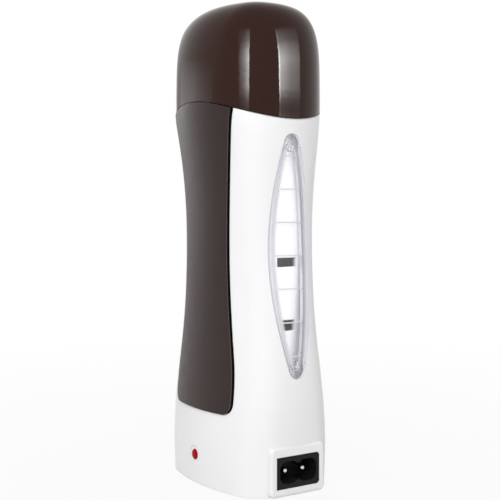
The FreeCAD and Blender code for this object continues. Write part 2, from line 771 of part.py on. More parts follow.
def make_body_shell(skins):
    """One white moulding: the casing wall with its panel seats, windows, pad and screw bosses."""
    gap = cell("fit_gap")
    pad_outline = rectangle_sketch("inlet_pad_outline", cell("pad_half_width"),
                                   (cell("pad_top") - cell("pad_bottom")).part(0.5), cell("pad_corner"))
    place(pad_outline, x=ZERO, z=(cell("pad_top") + cell("pad_bottom")).part(0.5), turn=AXIS_TURNS["x"])
    pad_bar = extruded("inlet_pad_bar", pad_outline, cell("pad_face"))
    doc.recompute()
    pad = doc.addObject("Part::Fillet", "inlet_pad")
    pad.Base = pad_bar
    edge = cell("pad_edge").value
    face_x = cell("pad_face").value
    pad.Edges = [(i, edge, edge) for i, e in enumerate(pad_bar.Shape.Edges, start=1)
                 if all(abs(v.X - face_x) < 0.01 for v in e.Vertexes)]
    outside = fused("casing_with_pad", skins["casing"], pad)

    seat_ring = cut("panel_seat_ring", skins["casing"], skins["seat"])
    room = cell("panel_gap")
    front_seat = common("front_seat", seat_ring, panel_prism("front_seat_prism", room))
    rear_prism = panel_prism("rear_seat_prism", room - cell("rear_panel_inset"))
    rear_seat = mirrored("rear_seat", common("rear_seat_in_front", seat_ring, rear_prism), Vector(0, 1, 0))
    holes = panel_pegs("front_peg_holes", gap)
    rear_holes = mirrored("rear_peg_holes", holes, Vector(0, 1, 0))
    right_window = window_prism("right_window_hole", ZERO)
    left_window = mirrored("left_window_hole", right_window, Vector(1, 0, 0))
    flange_depth = cell("inlet_face") - cell("inlet_flange")
    inlet_holes = [inlet_block("inlet_hole", ZERO, cell("inlet_face"), gap - cell("inlet_body_inset")),
                   bevelled_block("inlet_flange_seat", flange_depth, cell("reach"), gap)]
    level, reach = cell("indicator_height"), cell("reach")
    lamp_start = (cell("indicator_x"), -reach, level)
    lamp_hole = rod("indicator_hole", lamp_start, cell("indicator_radius") + gap, reach, "y")
    ring_depth = reach - cell("plinth_half_depth") + cell("indicator_ring_depth")
    lamp_ring = rod("indicator_ring", lamp_start, cell("indicator_ring_radius"), ring_depth, "y")
    wall = cut("casing_wall", outside, skins["inside"], skins["above"], front_seat, rear_seat, holes,
               rear_holes, right_window, left_window, *inlet_holes, lamp_hole, lamp_ring)

    bosses, cores = [], []
    bottom = cell("foot_height") + cell("plate_thickness")
    core = cell("base_screw_radius") + cell("thread_gap")
    for name, x, y in corner_spots("boss", cell("boss_x"), cell("boss_y")):
        bosses.append(rod(name, (x, y, bottom), cell("boss_radius"), cell("boss_height")))
        cores.append(rod(f"{name}_core", (x, y, bottom), core, cell("base_screw_length")))
    inner_bosses = common("bosses_within_casing", fused("bosses", *bosses), skins["casing"])
    whole = fused("casing_with_bosses", wall, inner_bosses)
    return {"body_shell": cut("body_shell", whole, *cores)}


def make_panels(skins):
    """The dark front panel, and a slightly narrower one at the rear."""
    ring = cut("panel_ring", skins["panel"], skins["seat"])
    peg_ring = cut("panel_peg_ring", skins["panel"], skins["flange"])
    pegs = common("panel_pegs", panel_pegs("panel_peg_bars", ZERO), peg_ring)
    facing = {}
    for side, inset in (("front", ZERO), ("rear", cell("rear_panel_inset"))):
        plate = common(f"{side}_plate", ring, panel_prism(f"{side}_prism", -inset))
        whole = fused(f"{side}_panel_blank", plate, pegs)
        facing[side] = cut(f"{side}_panel_in_front", whole, skins["above"])
    return {"front_panel": facing["front"],
            "rear_panel": mirrored("rear_panel", facing["rear"], Vector(0, 1, 0))}


def make_windows(skins):
    """A clear lens for each side: plate, rim wall, flange and two posts."""
    prism = window_prism("lens_prism", -cell("lens_gap"))
    block = common("lens_block", cut("lens_ring", skins["lens"], skins["flange"]), prism)
    pocket = common("lens_pocket", skins["seat"], hollow_prism("lens_hollow"))
    flange_ring = cut("lens_flange_ring", skins["inside"], skins["flange"])
    flange = common("lens_flange_blank", flange_ring, window_prism("lens_flange_prism", cell("lens_flange")))
    bars = []
    for name, sign in (("low", -1), ("high", 1)):
        level = cell("window_height") + cell("lens_post_offset").part(sign)
        bars.append(rod(f"lens_{name}_post_bar", (ZERO, ZERO, level), cell("lens_post_radius"),
                        cell("reach"), "x"))
    post_ring = cut("lens_post_ring", skins["seat"], skins["flange"])
    posts = common("lens_posts", fused("lens_post_bars", *bars), post_ring)
    cup = cut("lens_cup", fused("lens_cup_blank", block, flange), pocket)
    right = fused("window_right", cup, posts)
    return {"window_right": right, "window_left": mirrored("window_left", right, Vector(1, 0, 0))}


def make_level_marks(skins):
    """Seven level lines bonded to the inside of each lens."""
    reach, half = cell("reach"), cell("mark_height").part(0.5)
    bars = []
    for index in range(-MARKS_EACH_SIDE, MARKS_EACH_SIDE + 1):
        level = cell("window_height") + cell("mark_pitch").part(index)
        bars.append(box(f"mark_bar_{index + MARKS_EACH_SIDE + 1}", (ZERO, -reach, level - half),
                        (reach, reach, level + half)))
    ring = common("mark_ring", cut("mark_skins", skins["seat"], skins["marks"]), hollow_prism("mark_hollow"))
    right = common("level_marks_right", ring, fused("mark_bars", *bars))
    return {"level_marks_right": right,
            "level_marks_left": mirrored("level_marks_left", right, Vector(1, 0, 0))}


def bow_depth(prefix, x):
    """How far in front of the middle plane an oval's front arc is at x, near its middle."""
    return cell(f"{prefix}_half_depth") - x.times(x).part(0.5 / numbers[f"{prefix}_front_radius"])


def make_cap():
    """The lift-off cap: a shell with four ribs inside that steady it on the collar."""
    shell = cut("cap_shell", cap_skin("cap_form", ZERO), cap_skin("cap_hollow", cell("cap_wall")))
    offset, half = cell("cap_rib_offset"), cell("cap_rib_thickness").part(0.5)
    near = bow_depth("spigot", offset) + cell("parting_gap")
    far = bow_depth("cap", offset) - cell("cap_wall").part(0.5)
    ribs = []
    for name, x in (("left", -offset), ("right", offset)):
        for side, low, high in (("front", -far, -near), ("rear", near, far)):
            ribs.append(box(f"cap_rib_{side}_{name}", (x - half, low, cell("cap_rib_bottom")),
                            (x + half, high, cell("cap_rib_top"))))
    whole = fused("cap_with_ribs", shell, *ribs)
    return {"cap": common("cap", whole, above_arch("above_cap_edge", cell("parting_gap")))}


def make_collar(skins):
    """The ring that closes the casing round the well, with the spigot that the cap slides over."""
    bottom, thick = cell("collar_bottom"), cell("collar_thickness")
    top = bottom + thick
    ring = common("collar_ring", skins["inside"], slab("collar_slab", bottom, top))
    outline = named_oval("spigot")
    bore_outline = outline.grown(-cell("spigot_wall"))
    height = cell("spigot_top") - top
    spigot = extruded("spigot", oval_sketch("spigot_outline", outline, top), height)
    bore = extruded("spigot_bore", oval_sketch("spigot_bore_outline", bore_outline, top), height)
    mouth = sleeve_bar("collar_mouth", ZERO, bottom, thick)
    step = sleeve_bar("collar_step", cell("sleeve_wall") + cell("fit_gap"), bottom, thick.part(0.5))
    return {"collar": cut("collar", fused("collar_blank", ring, spigot), bore, mouth, step)}


# ---------------------------------------------------------------- screws

def screw(name, x, y, z, turn, prefix):
    """A screw whose tip is at a point; before it is turned, its head faces up."""
    radius, length = cell(f"{prefix}_radius"), cell(f"{prefix}_length")
    head_radius, head_height = cell(f"{prefix}_head_radius"), cell(f"{prefix}_head_height")
    shank = rod(f"{name}_shank", (ZERO, ZERO, ZERO), radius, length)
    head = rod(f"{name}_head", (ZERO, ZERO, length), head_radius, head_height)
    top = length + head_height
    wing, slit = head_radius.part(SLIT_REACH), head_radius.part(SLIT_HALF_WIDTH)
    low = top - head_height.part(SLIT_DEPTH)
    across = box(f"{name}_slit_x", (-wing, -slit, low), (wing, slit, top))
    along = box(f"{name}_slit_y", (-slit, -wing, low), (slit, wing, top))
    return place(cut(name, fused(f"{name}_blank", shank, head), across, along), x, y, z, turn)


def pillar_spots(name):
    """The two pillars that carry the well, each with a name."""
    return [(f"{name}_left", -cell("pillar_x")), (f"{name}_right", cell("pillar_x"))]


# ---------------------------------------------------------------- well and heater

def sleeve_bar(name, grow, bottom, length):
    """The cartridge's own outline, grown, as an upright bar."""
    outline = rectangle_sketch(f"{name}_outline", cell("well_half_width") + grow,
                               cell("well_half_depth") + grow, cell("well_corner") + grow)
    place(outline, y=-cell("well_offset"), z=bottom)
    return extruded(name, outline, length)


def stack_top():
    """How high the two ceramic stones and the layers on them reach."""
    return cell("stack_bottom") + cell("stone_height").part(2) + cell("stone_gap")


def fuse_height():
    """The height of the fuse's axis, above the stack."""
    return stack_top() + cell("fuse_rise")


def strap_room():
    """Half of the space inside the strap that holds the fuse."""
    return cell("fuse_radius") + cell("sleeving_thickness") + cell("clip_clearance")


def heater_plate_top():
    """The plate ends above the strap's upper foot."""
    return (fuse_height() + strap_room() + cell("clip_thickness") + cell("clip_foot")
            + cell("heater_plate_margin"))


def well_rear():
    """How far back the rear inside face of the well is."""
    return cell("well_half_depth") - cell("well_offset")


def make_well_sleeve():
    """The open-topped sleeve that the wax cartridge stands in."""
    bottom = cell("sleeve_bottom")
    top = cell("collar_bottom") + cell("collar_thickness").part(0.5)
    floor = bottom + cell("sleeve_floor")
    outside = sleeve_bar("sleeve_outside", cell("sleeve_wall"), bottom, top - bottom)
    inside = sleeve_bar("sleeve_inside", ZERO, floor, top - floor)
    gap, rear, reach = cell("fit_gap"), well_rear(), cell("reach")
    plate = cell("heater_plate_half_width") + gap
    aperture = box("heater_aperture", (-plate, rear.part(0.5), cell("heater_plate_bottom") - gap),
                   (plate, rear + reach, heater_plate_top() + gap))
    openings = []
    for level in ("high", "low"):
        middle, height = cell(f"{level}_slot_y"), cell(f"{level}_slot_height")
        along, up = cell(f"{level}_slot_length").part(0.5), cell(f"{level}_slot_width").part(0.5)
        openings.append(box(f"{level}_slots", (-reach, middle - along, height - up),
                            (reach, middle + along, height + up)))
    head_height = cell("sleeve_screw_head_height")
    for name, x in pillar_spots("sleeve_screw_hole"):
        spot = (x, cell("pillar_y"))
        openings.append(rod(name, (*spot, bottom), cell("sleeve_screw_radius") + cell("thread_gap"),
                            cell("sleeve_floor")))
        openings.append(rod(f"{name}_head", (*spot, floor - head_height),
                            cell("sleeve_screw_head_radius") + cell("thread_gap"), head_height))
    return {"well_sleeve": cut("well_sleeve", outside, inside, aperture, *openings)}


def make_sleeve_screws():
    """Two screws that hold the well down onto its pillars."""
    floor = cell("sleeve_bottom") + cell("sleeve_floor")
    tip = floor - cell("sleeve_screw_head_height") - cell("sleeve_screw_length")
    screws = [screw(name, x, cell("pillar_y"), tip, Rotation(), "sleeve_screw")
              for name, x in pillar_spots("sleeve_screw")]
    return {"sleeve_screws": group_of_solids("sleeve_screws", *screws)}


def upright_plate(name, half_width, front, rear, bottom, top, x=ZERO):
    """A thin plate that stands across the heater, from its front face to its rear face."""
    return box(name, (x - half_width, front, bottom), (x + half_width, rear, top))


def strap(name, half_width, half_height, clear, feet_y, top_y, middle, upright):
    """A sprung steel hat strap; its feet are left and right, or above and below if upright."""
    thick, foot = cell("clip_thickness"), cell("clip_foot")
    inner, outer = clear, clear + thick
    ends = outer + foot

    def block(part, low, high, start_y, end_y, across):
        if upright:
            return box(f"{name}_{part}", (-across, start_y, middle + low), (across, end_y, middle + high))
        return box(f"{name}_{part}", (low, start_y, middle - across), (high, end_y, middle + across))

    across = half_width if upright else half_height
    hat = block("hat", -outer, outer, feet_y, top_y + thick, across)
    room = block("room", -inner, inner, feet_y, top_y, across)
    feet = [block("foot_low", -ends, -outer, feet_y, feet_y + thick, across),
            block("foot_high", outer, ends, feet_y, feet_y + thick, across)]
    holes = []
    radius = cell("clip_screw_radius") + cell("thread_gap")
    for side, spot in (("low", -(outer + foot.part(0.5))), ("high", outer + foot.part(0.5))):
        x, z = (ZERO, middle + spot) if upright else (spot, middle)
        holes.append(rod(f"{name}_hole_{side}", (x, feet_y, z), radius, thick, "y"))
    return cut(name, fused(f"{name}_blank", cut(f"{name}_bent", hat, room), *feet), *holes)


def make_heater():
    """Aluminium plate, then mica, foil, ceramic stones, foil and mica, held by a sprung clip."""
    foil, bottom = cell("foil_thickness"), cell("stack_bottom")
    top = stack_top()
    half, tab = cell("stone_half_width"), cell("electrode_tab_width").part(0.5)
    front = well_rear()
    rear = front + cell("heater_plate_thickness")
    plate = upright_plate("heater_plate_blank", cell("heater_plate_half_width"), front, rear,
                          cell("heater_plate_bottom"), heater_plate_top())
    pieces = {}

    def layer(name, start, tab_x=None):
        sheet_piece = upright_plate(f"{name}_sheet", half, start, start + foil, bottom, top)
        if tab_x is None:
            pieces[name] = sheet_piece
        else:
            ear = upright_plate(f"{name}_tab", tab, start, start + foil, top - foil,
                                top + cell("electrode_tab_length"), tab_x)
            pieces[name] = fused(name, sheet_piece, ear)
        return start + foil

    level = layer("mica_inner", rear)
    level = layer("electrode_inner", level, -cell("electrode_tab_offset"))
    stones = []
    for index in range(2):
        low = bottom + (cell("stone_height") + cell("stone_gap")).part(index)
        stones.append(upright_plate(f"ptc_stone_{index + 1}", half, level, level + cell("stone_thickness"),
                                    low, low + cell("stone_height")))
    pieces["ptc_stones"] = group_of_solids("ptc_stones", *stones)
    level = layer("electrode_outer", level + cell("stone_thickness"), cell("electrode_tab_offset"))
    level = layer("mica_outer", level)
    clip_room = half + cell("clip_clearance")
    middle = (bottom + top).part(0.5)
    strap_half = cell("strap_height").part(0.5)
    pieces["heater_clip"] = strap("heater_clip", half, cell("clip_height").part(0.5), clip_room, rear, level,
                                  middle, False)
    fuse_rear = rear + (cell("fuse_radius") + cell("sleeving_thickness")).part(2)
    pieces["fuse_strap"] = strap("fuse_strap", strap_half, strap_half, strap_room(), rear, fuse_rear,
                                 fuse_height(), True)
    clip_reach = clip_room + cell("clip_thickness") + cell("clip_foot").part(0.5)
    strap_reach = strap_room() + cell("clip_thickness") + cell("clip_foot").part(0.5)
    spots = (("clip_left", -clip_reach, middle), ("clip_right", clip_reach, middle),
             ("strap_low", ZERO, fuse_height() - strap_reach),
             ("strap_high", ZERO, fuse_height() + strap_reach))
    tip = rear + cell("clip_thickness") - cell("clip_screw_length")
    screws = [screw(f"{name}_screw", x, tip, z, AXIS_TURNS["y"], "clip_screw") for name, x, z in spots]
    pieces["clip_screws"] = group_of_solids("clip_screws", *screws)
    radius = cell("clip_screw_radius") + cell("thread_gap")
    threads = [rod(f"{name}_thread", (x, tip, z), radius, rear - tip, "y") for name, x, z in spots]
    pieces["heater_plate"] = cut("heater_plate", plate, *threads)
    return pieces


def fuse_axis():
    """How far back the fuse's axis is when its sleeving lies on the heater plate."""
    return well_rear() + cell("heater_plate_thickness") + cell("fuse_radius") + cell("sleeving_thickness")


def make_fuse():
    """The thermal fuse with its two leads, its sleeving and the crimps on its ends."""
    y, z = fuse_axis(), fuse_height()
    half, lead = cell("fuse_length").part(0.5), cell("fuse_lead_length")
    body = rod("fuse_body", (-half, y, z), cell("fuse_radius"), half.part(2), "x")
    wire = rod("fuse_wire", (-(half + lead), y, z), cell("fuse_lead_radius"), (half + lead).part(2), "x")
    cover = rod("sleeving_outside", (-half, y, z), cell("fuse_radius") + cell("sleeving_thickness"),
                half.part(2), "x")
    bore = rod("sleeving_bore", (-half, y, z), cell("fuse_radius"), half.part(2), "x")
    grip, gap = cell("splice_half_length"), cell("thread_gap")
    crimps = []
    reach = half + lead
    for name, end, near in (("left", -reach, -reach - grip), ("right", reach, reach)):
        start = end - grip
        tube = rod(f"splice_{name}_outside", (start, y, z), cell("splice_radius"), grip.part(2), "x")
        thin = rod(f"splice_{name}_thin_bore", (start, y, z), cell("fuse_lead_radius") + gap,
                   grip.part(2), "x")
        wide = rod(f"splice_{name}_wide_bore", (near, y, z), cell("lead_radius") + gap, grip, "x")
        crimps.append(cut(f"splice_{name}", tube, thin, wide))
    return {"thermal_fuse": fused("thermal_fuse", body, wire),
            "fuse_sleeving": cut("fuse_sleeving", cover, bore),
            "splice_crimps": group_of_solids("splice_crimps", *crimps)}


# ---------------------------------------------------------------- base

def board_box(name, grow):
    """The little circuit board, standing upright behind the indicator."""
    half = cell("board_half_width") + grow
    rear = cell("board_front") - cell("board_thickness")
    bottom = cell("foot_height") + cell("plate_thickness")
    return box(name, (-half, -cell("board_front") - grow, bottom), (half, -rear + grow, cell("board_top")))


def make_base():
    """The plate that closes the casing from below, with pillars for the well and posts for the board."""
    gap, bottom, thick = cell("fit_gap"), cell("foot_height"), cell("plate_thickness")
    outline = oval_sketch("base_plate_outline", named_oval("foot").grown(-(cell("wall") + gap)), bottom)
    plate = extruded("base_plate_blank", outline, thick)
    top = bottom + thick
    pillar_top = cell("sleeve_bottom")
    added, removed = [], []
    core = cell("sleeve_screw_radius") + cell("thread_gap")
    core_depth = cell("sleeve_screw_length") + cell("screw_end_room")
    for name, x in pillar_spots("pillar"):
        spot = (x, cell("pillar_y"))
        added.append(rod(name, (*spot, top - thick.part(0.5)), cell("pillar_radius"),
                         pillar_top - top + thick.part(0.5)))
        removed.append(rod(f"{name}_core", (*spot, pillar_top - core_depth), core, core_depth))
    inner = cell("board_half_width") - cell("board_post_overlap")
    outer = inner + cell("board_post_width")
    middle = cell("board_front") - cell("board_thickness").part(0.5)
    deep = cell("board_post_depth").part(0.5)
    for name, low, high in (("left", -outer, -inner), ("right", inner, outer)):
        added.append(box(f"board_post_{name}", (low, -middle - deep, top - thick.part(0.5)),
                         (high, -middle + deep, top + cell("board_post_height"))))
    removed.append(board_box("board_slot", gap))
    screw_radius = cell("base_screw_radius") + cell("thread_gap")
    head_radius = cell("base_screw_head_radius") + gap
    head_depth = cell("base_screw_head_height") + cell("base_screw_sink")
    for name, x, y in corner_spots("base_screw_hole", cell("boss_x"), cell("boss_y")):
        removed.append(rod(name, (x, y, bottom), screw_radius, thick))
        removed.append(rod(f"{name}_head", (x, y, bottom), head_radius, head_depth))
    for name, x, y in corner_spots("foot_pocket", cell("foot_x"), cell("foot_y")):
        removed.append(rod(name, (x, y, bottom), cell("foot_radius") + cell("thread_gap"),
                           cell("foot_pocket_depth")))
    return {"base_plate": cut("base_plate", fused("base_plate_body", plate, *added), *removed)}


def make_base_screws():
    """Four screws that come up through the plate into the casing's bosses."""
    head_top = cell("foot_height") + cell("base_screw_head_height") + cell("base_screw_sink")
    tip = head_top + cell("base_screw_length")
    turn = Rotation(Vector(1, 0, 0), 180)
    screws = [screw(name, x, y, tip, turn, "base_screw")
              for name, x, y in corner_spots("base_screw", cell("boss_x"), cell("boss_y"))]
    return {"base_screws": group_of_solids("base_screws", *screws)}


def make_feet():
    """Four soft round feet, each with a bevelled lower edge."""
    radius, edge = cell("foot_radius"), cell("foot_edge")
    top = cell("foot_height") + cell("foot_pocket_depth")
    feet = {}
    for name, x, y in corner_spots("foot", cell("foot_x"), cell("foot_y")):
        profile = [(ZERO, ZERO), (radius - edge, ZERO), (radius, edge), (radius, top), (ZERO, top)]
        feet[name] = place(turned(name, profile), x, y, ZERO)
    return feet


# ---------------------------------------------------------------- mains inlet

def make_inlet():
    """A two-pole appliance inlet: housing with a figure-eight recess, and its two pins."""
    face, height = cell("inlet_face"), cell("inlet_height")
    back = face - cell("inlet_depth")
    inset = cell("inlet_body_inset")
    flange = bevelled_block("inlet_flange", face - cell("inlet_flange"), face, ZERO)
    body = inlet_block("inlet_body_block", back, face, -inset)
    barb_low = face - cell("barb_depth") - cell("barb_length")
    wings = cell("inlet_half_width") + cell("barb_outset")
    barb_up = cell("barb_half_height")
    barbs = box("inlet_barbs", (barb_low, -wings, height - barb_up),
                (face - cell("barb_depth"), wings, height + barb_up))
    blank = fused("inlet_blank", flange, body, barbs)
    pitch = cell("pin_pitch").part(0.5)
    depth, waist = cell("recess_depth"), cell("recess_waist")
    recess = [box("recess_middle", (face - depth, -pitch, height - waist), (face, pitch, height + waist))]
    for name, y in (("line", -pitch), ("neutral", pitch)):
        lobe = rectangle_sketch(f"recess_{name}_outline", cell("recess_half_width"),
                                cell("recess_half_height"), cell("recess_corner"))
        place(lobe, face - depth, y, height, AXIS_TURNS["x"])
        recess.append(extruded(f"recess_{name}", lobe, depth))
    pins = {}
    holes = []
    tab_half, tab_up = cell("tab_width").part(0.5), cell("tab_thickness").part(0.5)
    step = cell("thread_gap")
    tip, root_end = face - cell("pin_setback"), face - depth + cell("pin_root_stand_out")
    root = cell("pin_root_radius")
    for name, y in (("line", -pitch), ("neutral", pitch)):
        pin = rod(f"pin_{name}_round", (root_end, y, height), cell("pin_radius"), tip - root_end, "x")
        stem = rod(f"pin_{name}_root", (back, y, height), root, root_end - back, "x")
        tab = box(f"pin_{name}_tab", (back - cell("tab_length"), y - tab_half, height - tab_up),
                  (back + cell("pin_radius"), y + tab_half, height + tab_up))
        pins[f"inlet_pin_{name}"] = fused(f"inlet_pin_{name}", pin, stem, tab)
        holes.append(rod(f"pin_{name}_hole", (back, y, height), root + step, root_end - back, "x"))
        holes.append(box(f"tab_{name}_hole", (back - step, y - tab_half - step, height - tab_up - step),
                         (back + cell("pin_radius") + step, y + tab_half + step, height + tab_up + step)))
    housing = cut("power_inlet", blank, *recess, *holes)
    return {"power_inlet": housing, **pins}


def make_spades():
    """Push-on connectors on the two tabs, each with a double crimp barrel."""
    back = cell("inlet_face") - cell("inlet_depth")
    end = back - cell("tab_length") + cell("thread_gap")
    height, pitch, gap = cell("inlet_height"), cell("pin_pitch").part(0.5), cell("thread_gap")
    half, up = cell("spade_width").part(0.5), cell("spade_height").part(0.5)
    tab_half, tab_up = cell("tab_width").part(0.5) + gap, cell("tab_thickness").part(0.5) + gap
    spades = []
    for name, y in (("line", -pitch), ("neutral", pitch)):
        shell = box(f"spade_{name}_shell", (spade_start(), y - half, height - up),
                    (spade_start() + cell("spade_length"), y + half, height + up))
        barrel_half = cell("barrel_width").part(0.5)
        start = spade_start() - cell("barrel_length")
        barrel = box(f"spade_{name}_barrel", (start, y - barrel_half, height - up),
                     (spade_start(), y + barrel_half, height + up))
        slot = box(f"spade_{name}_slot", (end - gap.part(2), y - tab_half, height - tab_up),
                   (back, y + tab_half, height + tab_up))
        wide = rod(f"spade_{name}_wide_bore", (start, y + cell("bore_offset"), height),
                   cell("lead_radius") + gap, cell("lead_grip"), "x")
        thin = rod(f"spade_{name}_thin_bore", (start, y - cell("bore_offset"), height),
                   cell("thin_lead_radius") + gap, cell("lead_grip"), "x")
        spades.append(cut(f"spade_{name}", fused(f"spade_{name}_blank", shell, barrel), slot, wide, thin))
    return {"spade_terminals": group_of_solids("spade_terminals", *spades)}


def spade_start():
    """Where the connectors' shells begin; they stop short of the inlet's rear face."""
    return cell("inlet_face") - cell("inlet_depth") - cell("spade_length") - cell("spade_clearance")


# ---------------------------------------------------------------- indicator

def lens_rear():
    """How far in front of the middle plane the indicator lens ends."""
    return cell("plinth_half_depth") + cell("indicator_stand_out") - cell("indicator_length")


def make_indicator():
    """The red lens in the front wall, the lamp behind it, and the board with its resistor."""
    lens_x, level = cell("indicator_x"), cell("indicator_height")
    front = cell("plinth_half_depth") + cell("indicator_stand_out")
    bar = rod("indicator_bar", (lens_x, -front, level), cell("indicator_radius"),
              cell("indicator_length"), "y")
    collar_y = cell("plinth_half_depth") - cell("wall") - cell("indicator_flange_room")
    collar = rod("indicator_flange", (lens_x, -collar_y, level), cell("indicator_flange_radius"),
                 cell("indicator_flange_thickness"), "y")
    lamp_front = lens_rear() - cell("lamp_gap")
    board_front = cell("board_front")
    bulb = rod("lamp_bulb", (lens_x, -lamp_front, level), cell("lamp_radius"), lamp_front - board_front, "y")
    rim_front = board_front + cell("lamp_rim_thickness")
    rim = rod("lamp_rim", (lens_x, -rim_front, level), cell("lamp_rim_radius"),
              cell("lamp_rim_thickness"), "y")
    rear = board_front - cell("board_thickness")
    resistor_y = -rear + cell("resistor_radius") + cell("resistor_room")
    half, height = cell("resistor_length").part(0.5), cell("resistor_height")
    reach = half + cell("resistor_leg_length")
    leg = cell("resistor_leg_radius")
    legs = [rod("resistor_wire", (-reach, resistor_y, height), leg, reach.part(2), "x")]
    for name, x in (("left", -reach), ("right", reach)):
        legs.append(rod(f"resistor_leg_{name}", (x, -rear, height), leg, resistor_y + rear, "y"))
    resistor = rod("resistor_body", (-half, resistor_y, height), cell("resistor_radius"), half.part(2), "x")
    return {"indicator_lens": fused("indicator_lens", bar, collar),
            "indicator_lamp": fused("indicator_lamp", bulb, rim),
            "indicator_board": board_box("indicator_board", ZERO),
            "dropper_resistor": fused("dropper_resistor", resistor, *legs)}


# ---------------------------------------------------------------- leads

def rounded_path(corners, bend):
    """A wire through the corners, with a tangent arc in place of each inner corner."""
    edges, start = [], corners[0]
    for before, corner, after in zip(corners, corners[1:], corners[2:]):
        back = (before - corner).normalize()
        ahead = (after - corner).normalize()
        half_angle = back.getAngle(ahead) / 2
        cut_back = bend / math.tan(half_angle)
        to_centre = (back + ahead).normalize() * (bend / math.sin(half_angle))
        centre = corner + to_centre
        enter, leave = corner + back * cut_back, corner + ahead * cut_back
        middle = centre - Vector(to_centre).normalize() * bend
        edges += [Part.LineSegment(start, enter).toShape(), Part.Arc(enter, middle, leave).toShape()]
        start = leave
    edges.append(Part.LineSegment(start, corners[-1]).toShape())
    return Part.Wire(edges)


def lead(name, radius, bend, corners):
    """A round insulated wire along a bent path; the corners are sizes from the sheet."""
    points = [Vector(x.value, y.value, z.value) for x, y, z in corners]
    path = rounded_path(points, bend.value)
    ring = Part.Wire(Part.Circle(points[0], points[1] - points[0], radius.value).toShape())
    thing = doc.addObject("Part::Feature", name)
    thing.Shape = path.makePipeShell([ring], True, False)
    return thing


def make_leads():
    """Mains leads from the inlet to the fuse and the heater, and thin ones to the lamp's board."""
    thick, bend = cell("lead_radius"), cell("lead_bend")
    height, pitch, offset = cell("inlet_height"), cell("pin_pitch").part(0.5), cell("bore_offset")
    start = spade_start() - cell("barrel_length") + cell("lead_grip")
    tab_x = cell("electrode_tab_offset")
    tab_height = stack_top() + cell("tab_weld_height")
    plate_rear = well_rear() + cell("heater_plate_thickness")
    foil = cell("foil_thickness")
    outer_tab_front = plate_rear + foil.part(2) + cell("stone_thickness")
    neutral_y = pitch + offset
    riser_x, riser_y = cell("neutral_riser_x"), cell("neutral_riser_y")
    turn_x = cell("neutral_turn_x")
    neutral = lead("lead_neutral", thick, bend, [
        (start, neutral_y, height), (turn_x, neutral_y, height), (turn_x, riser_y, height),
        (riser_x, riser_y, height), (riser_x, riser_y, tab_height),
        (tab_x - cell("electrode_tab_width").part(0.5), outer_tab_front - thick, tab_height),
    ])
    line_y = -pitch + offset
    fuse_y, fuse_z = fuse_axis(), fuse_height()
    fuse_end = cell("fuse_length").part(0.5) + cell("fuse_lead_length")
    turn_x, low_y = cell("line_turn_x"), cell("line_low_y")
    riser_x, riser_y = cell("line_riser_x"), cell("line_riser_y")
    line = lead("lead_line", thick, bend, [
        (start, line_y, height), (turn_x, line_y, height), (turn_x, low_y, height), (riser_x, low_y, height),
        (riser_x, riser_y, cell("line_slope_top")), (riser_x, riser_y, fuse_z - cell("line_bend_room")),
        (riser_x, fuse_y, fuse_z), (fuse_end, fuse_y, fuse_z),
    ])
    link_x = cell("link_x")
    inner_tab_rear = plate_rear + foil.part(2)
    link = lead("lead_link", thick, cell("thin_lead_bend"), [
        (-fuse_end, fuse_y, fuse_z), (-link_x, fuse_y, fuse_z),
        (-link_x, inner_tab_rear + thick, tab_height),
        (-tab_x + cell("electrode_tab_width").part(0.5), inner_tab_rear + thick, tab_height),
    ])
    thin, thin_bend = cell("thin_lead_radius"), cell("thin_lead_bend")
    board_rear = -(cell("board_front") - cell("board_thickness"))
    line_x, neutral_x = cell("lamp_line_x"), cell("lamp_neutral_x")
    high = cell("lamp_neutral_height")
    lamp_line = lead("lamp_lead_line", thin, thin_bend, [
        (start, -pitch - offset, height), (line_x, -pitch - offset, height), (line_x, board_rear, height),
    ])
    lamp_neutral = lead("lamp_lead_neutral", thin, thin_bend, [
        (start, pitch - offset, height), (neutral_x, pitch - offset, height),
        (neutral_x, pitch - offset, high), (neutral_x, board_rear, high),
    ])
    return {"lead_neutral": neutral, "lead_line": line, "lead_link": link,
            "indicator_leads": group_of_solids("indicator_leads", lamp_line, lamp_neutral)}


# ---------------------------------------------------------------- whole heater

fill_sheet()
skins = make_skins()
pieces = {}
for group in (make_body_shell(skins), make_panels(skins), make_windows(skins), make_level_marks(skins),
              make_cap(), make_collar(skins), make_well_sleeve(), make_sleeve_screws(), make_heater(),
              make_fuse(), make_base(), make_base_screws(), make_feet(), make_inlet(), make_spades(),
              make_indicator(), make_leads()):
    pieces.update(group)
doc.recompute()

faults = [thing.Label for thing in doc.Objects if {"Invalid", "Error"} & set(thing.State)]
for name, piece in pieces.items():
    piece.Label = name
    if piece.Shape.isNull() or not piece.Shape.isValid() or not piece.Shape.Solids:
        faults.append(name)
if faults:
    raise RuntimeError("these objects did not build: " + ", ".join(faults))

os.makedirs("parts", exist_ok=True)
for name, piece in pieces.items():
    piece.Shape.exportStep(f"parts/{name}.step")
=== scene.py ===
"""Roll-on wax heater: finishes, small fittings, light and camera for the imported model.

Run as a script.  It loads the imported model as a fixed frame, gives each of its
nodes a finish, and replaces the pins, the indicator lens and the feet with
closer-modelled pieces.  Lengths are metres.  +Z is up, the front panel looks
along -Y and the mains inlet looks along +X.
"""
import math

import bmesh
import bpy
from bpy.props import FloatProperty, FloatVectorProperty, PointerProperty
from mathutils import Matrix, Vector


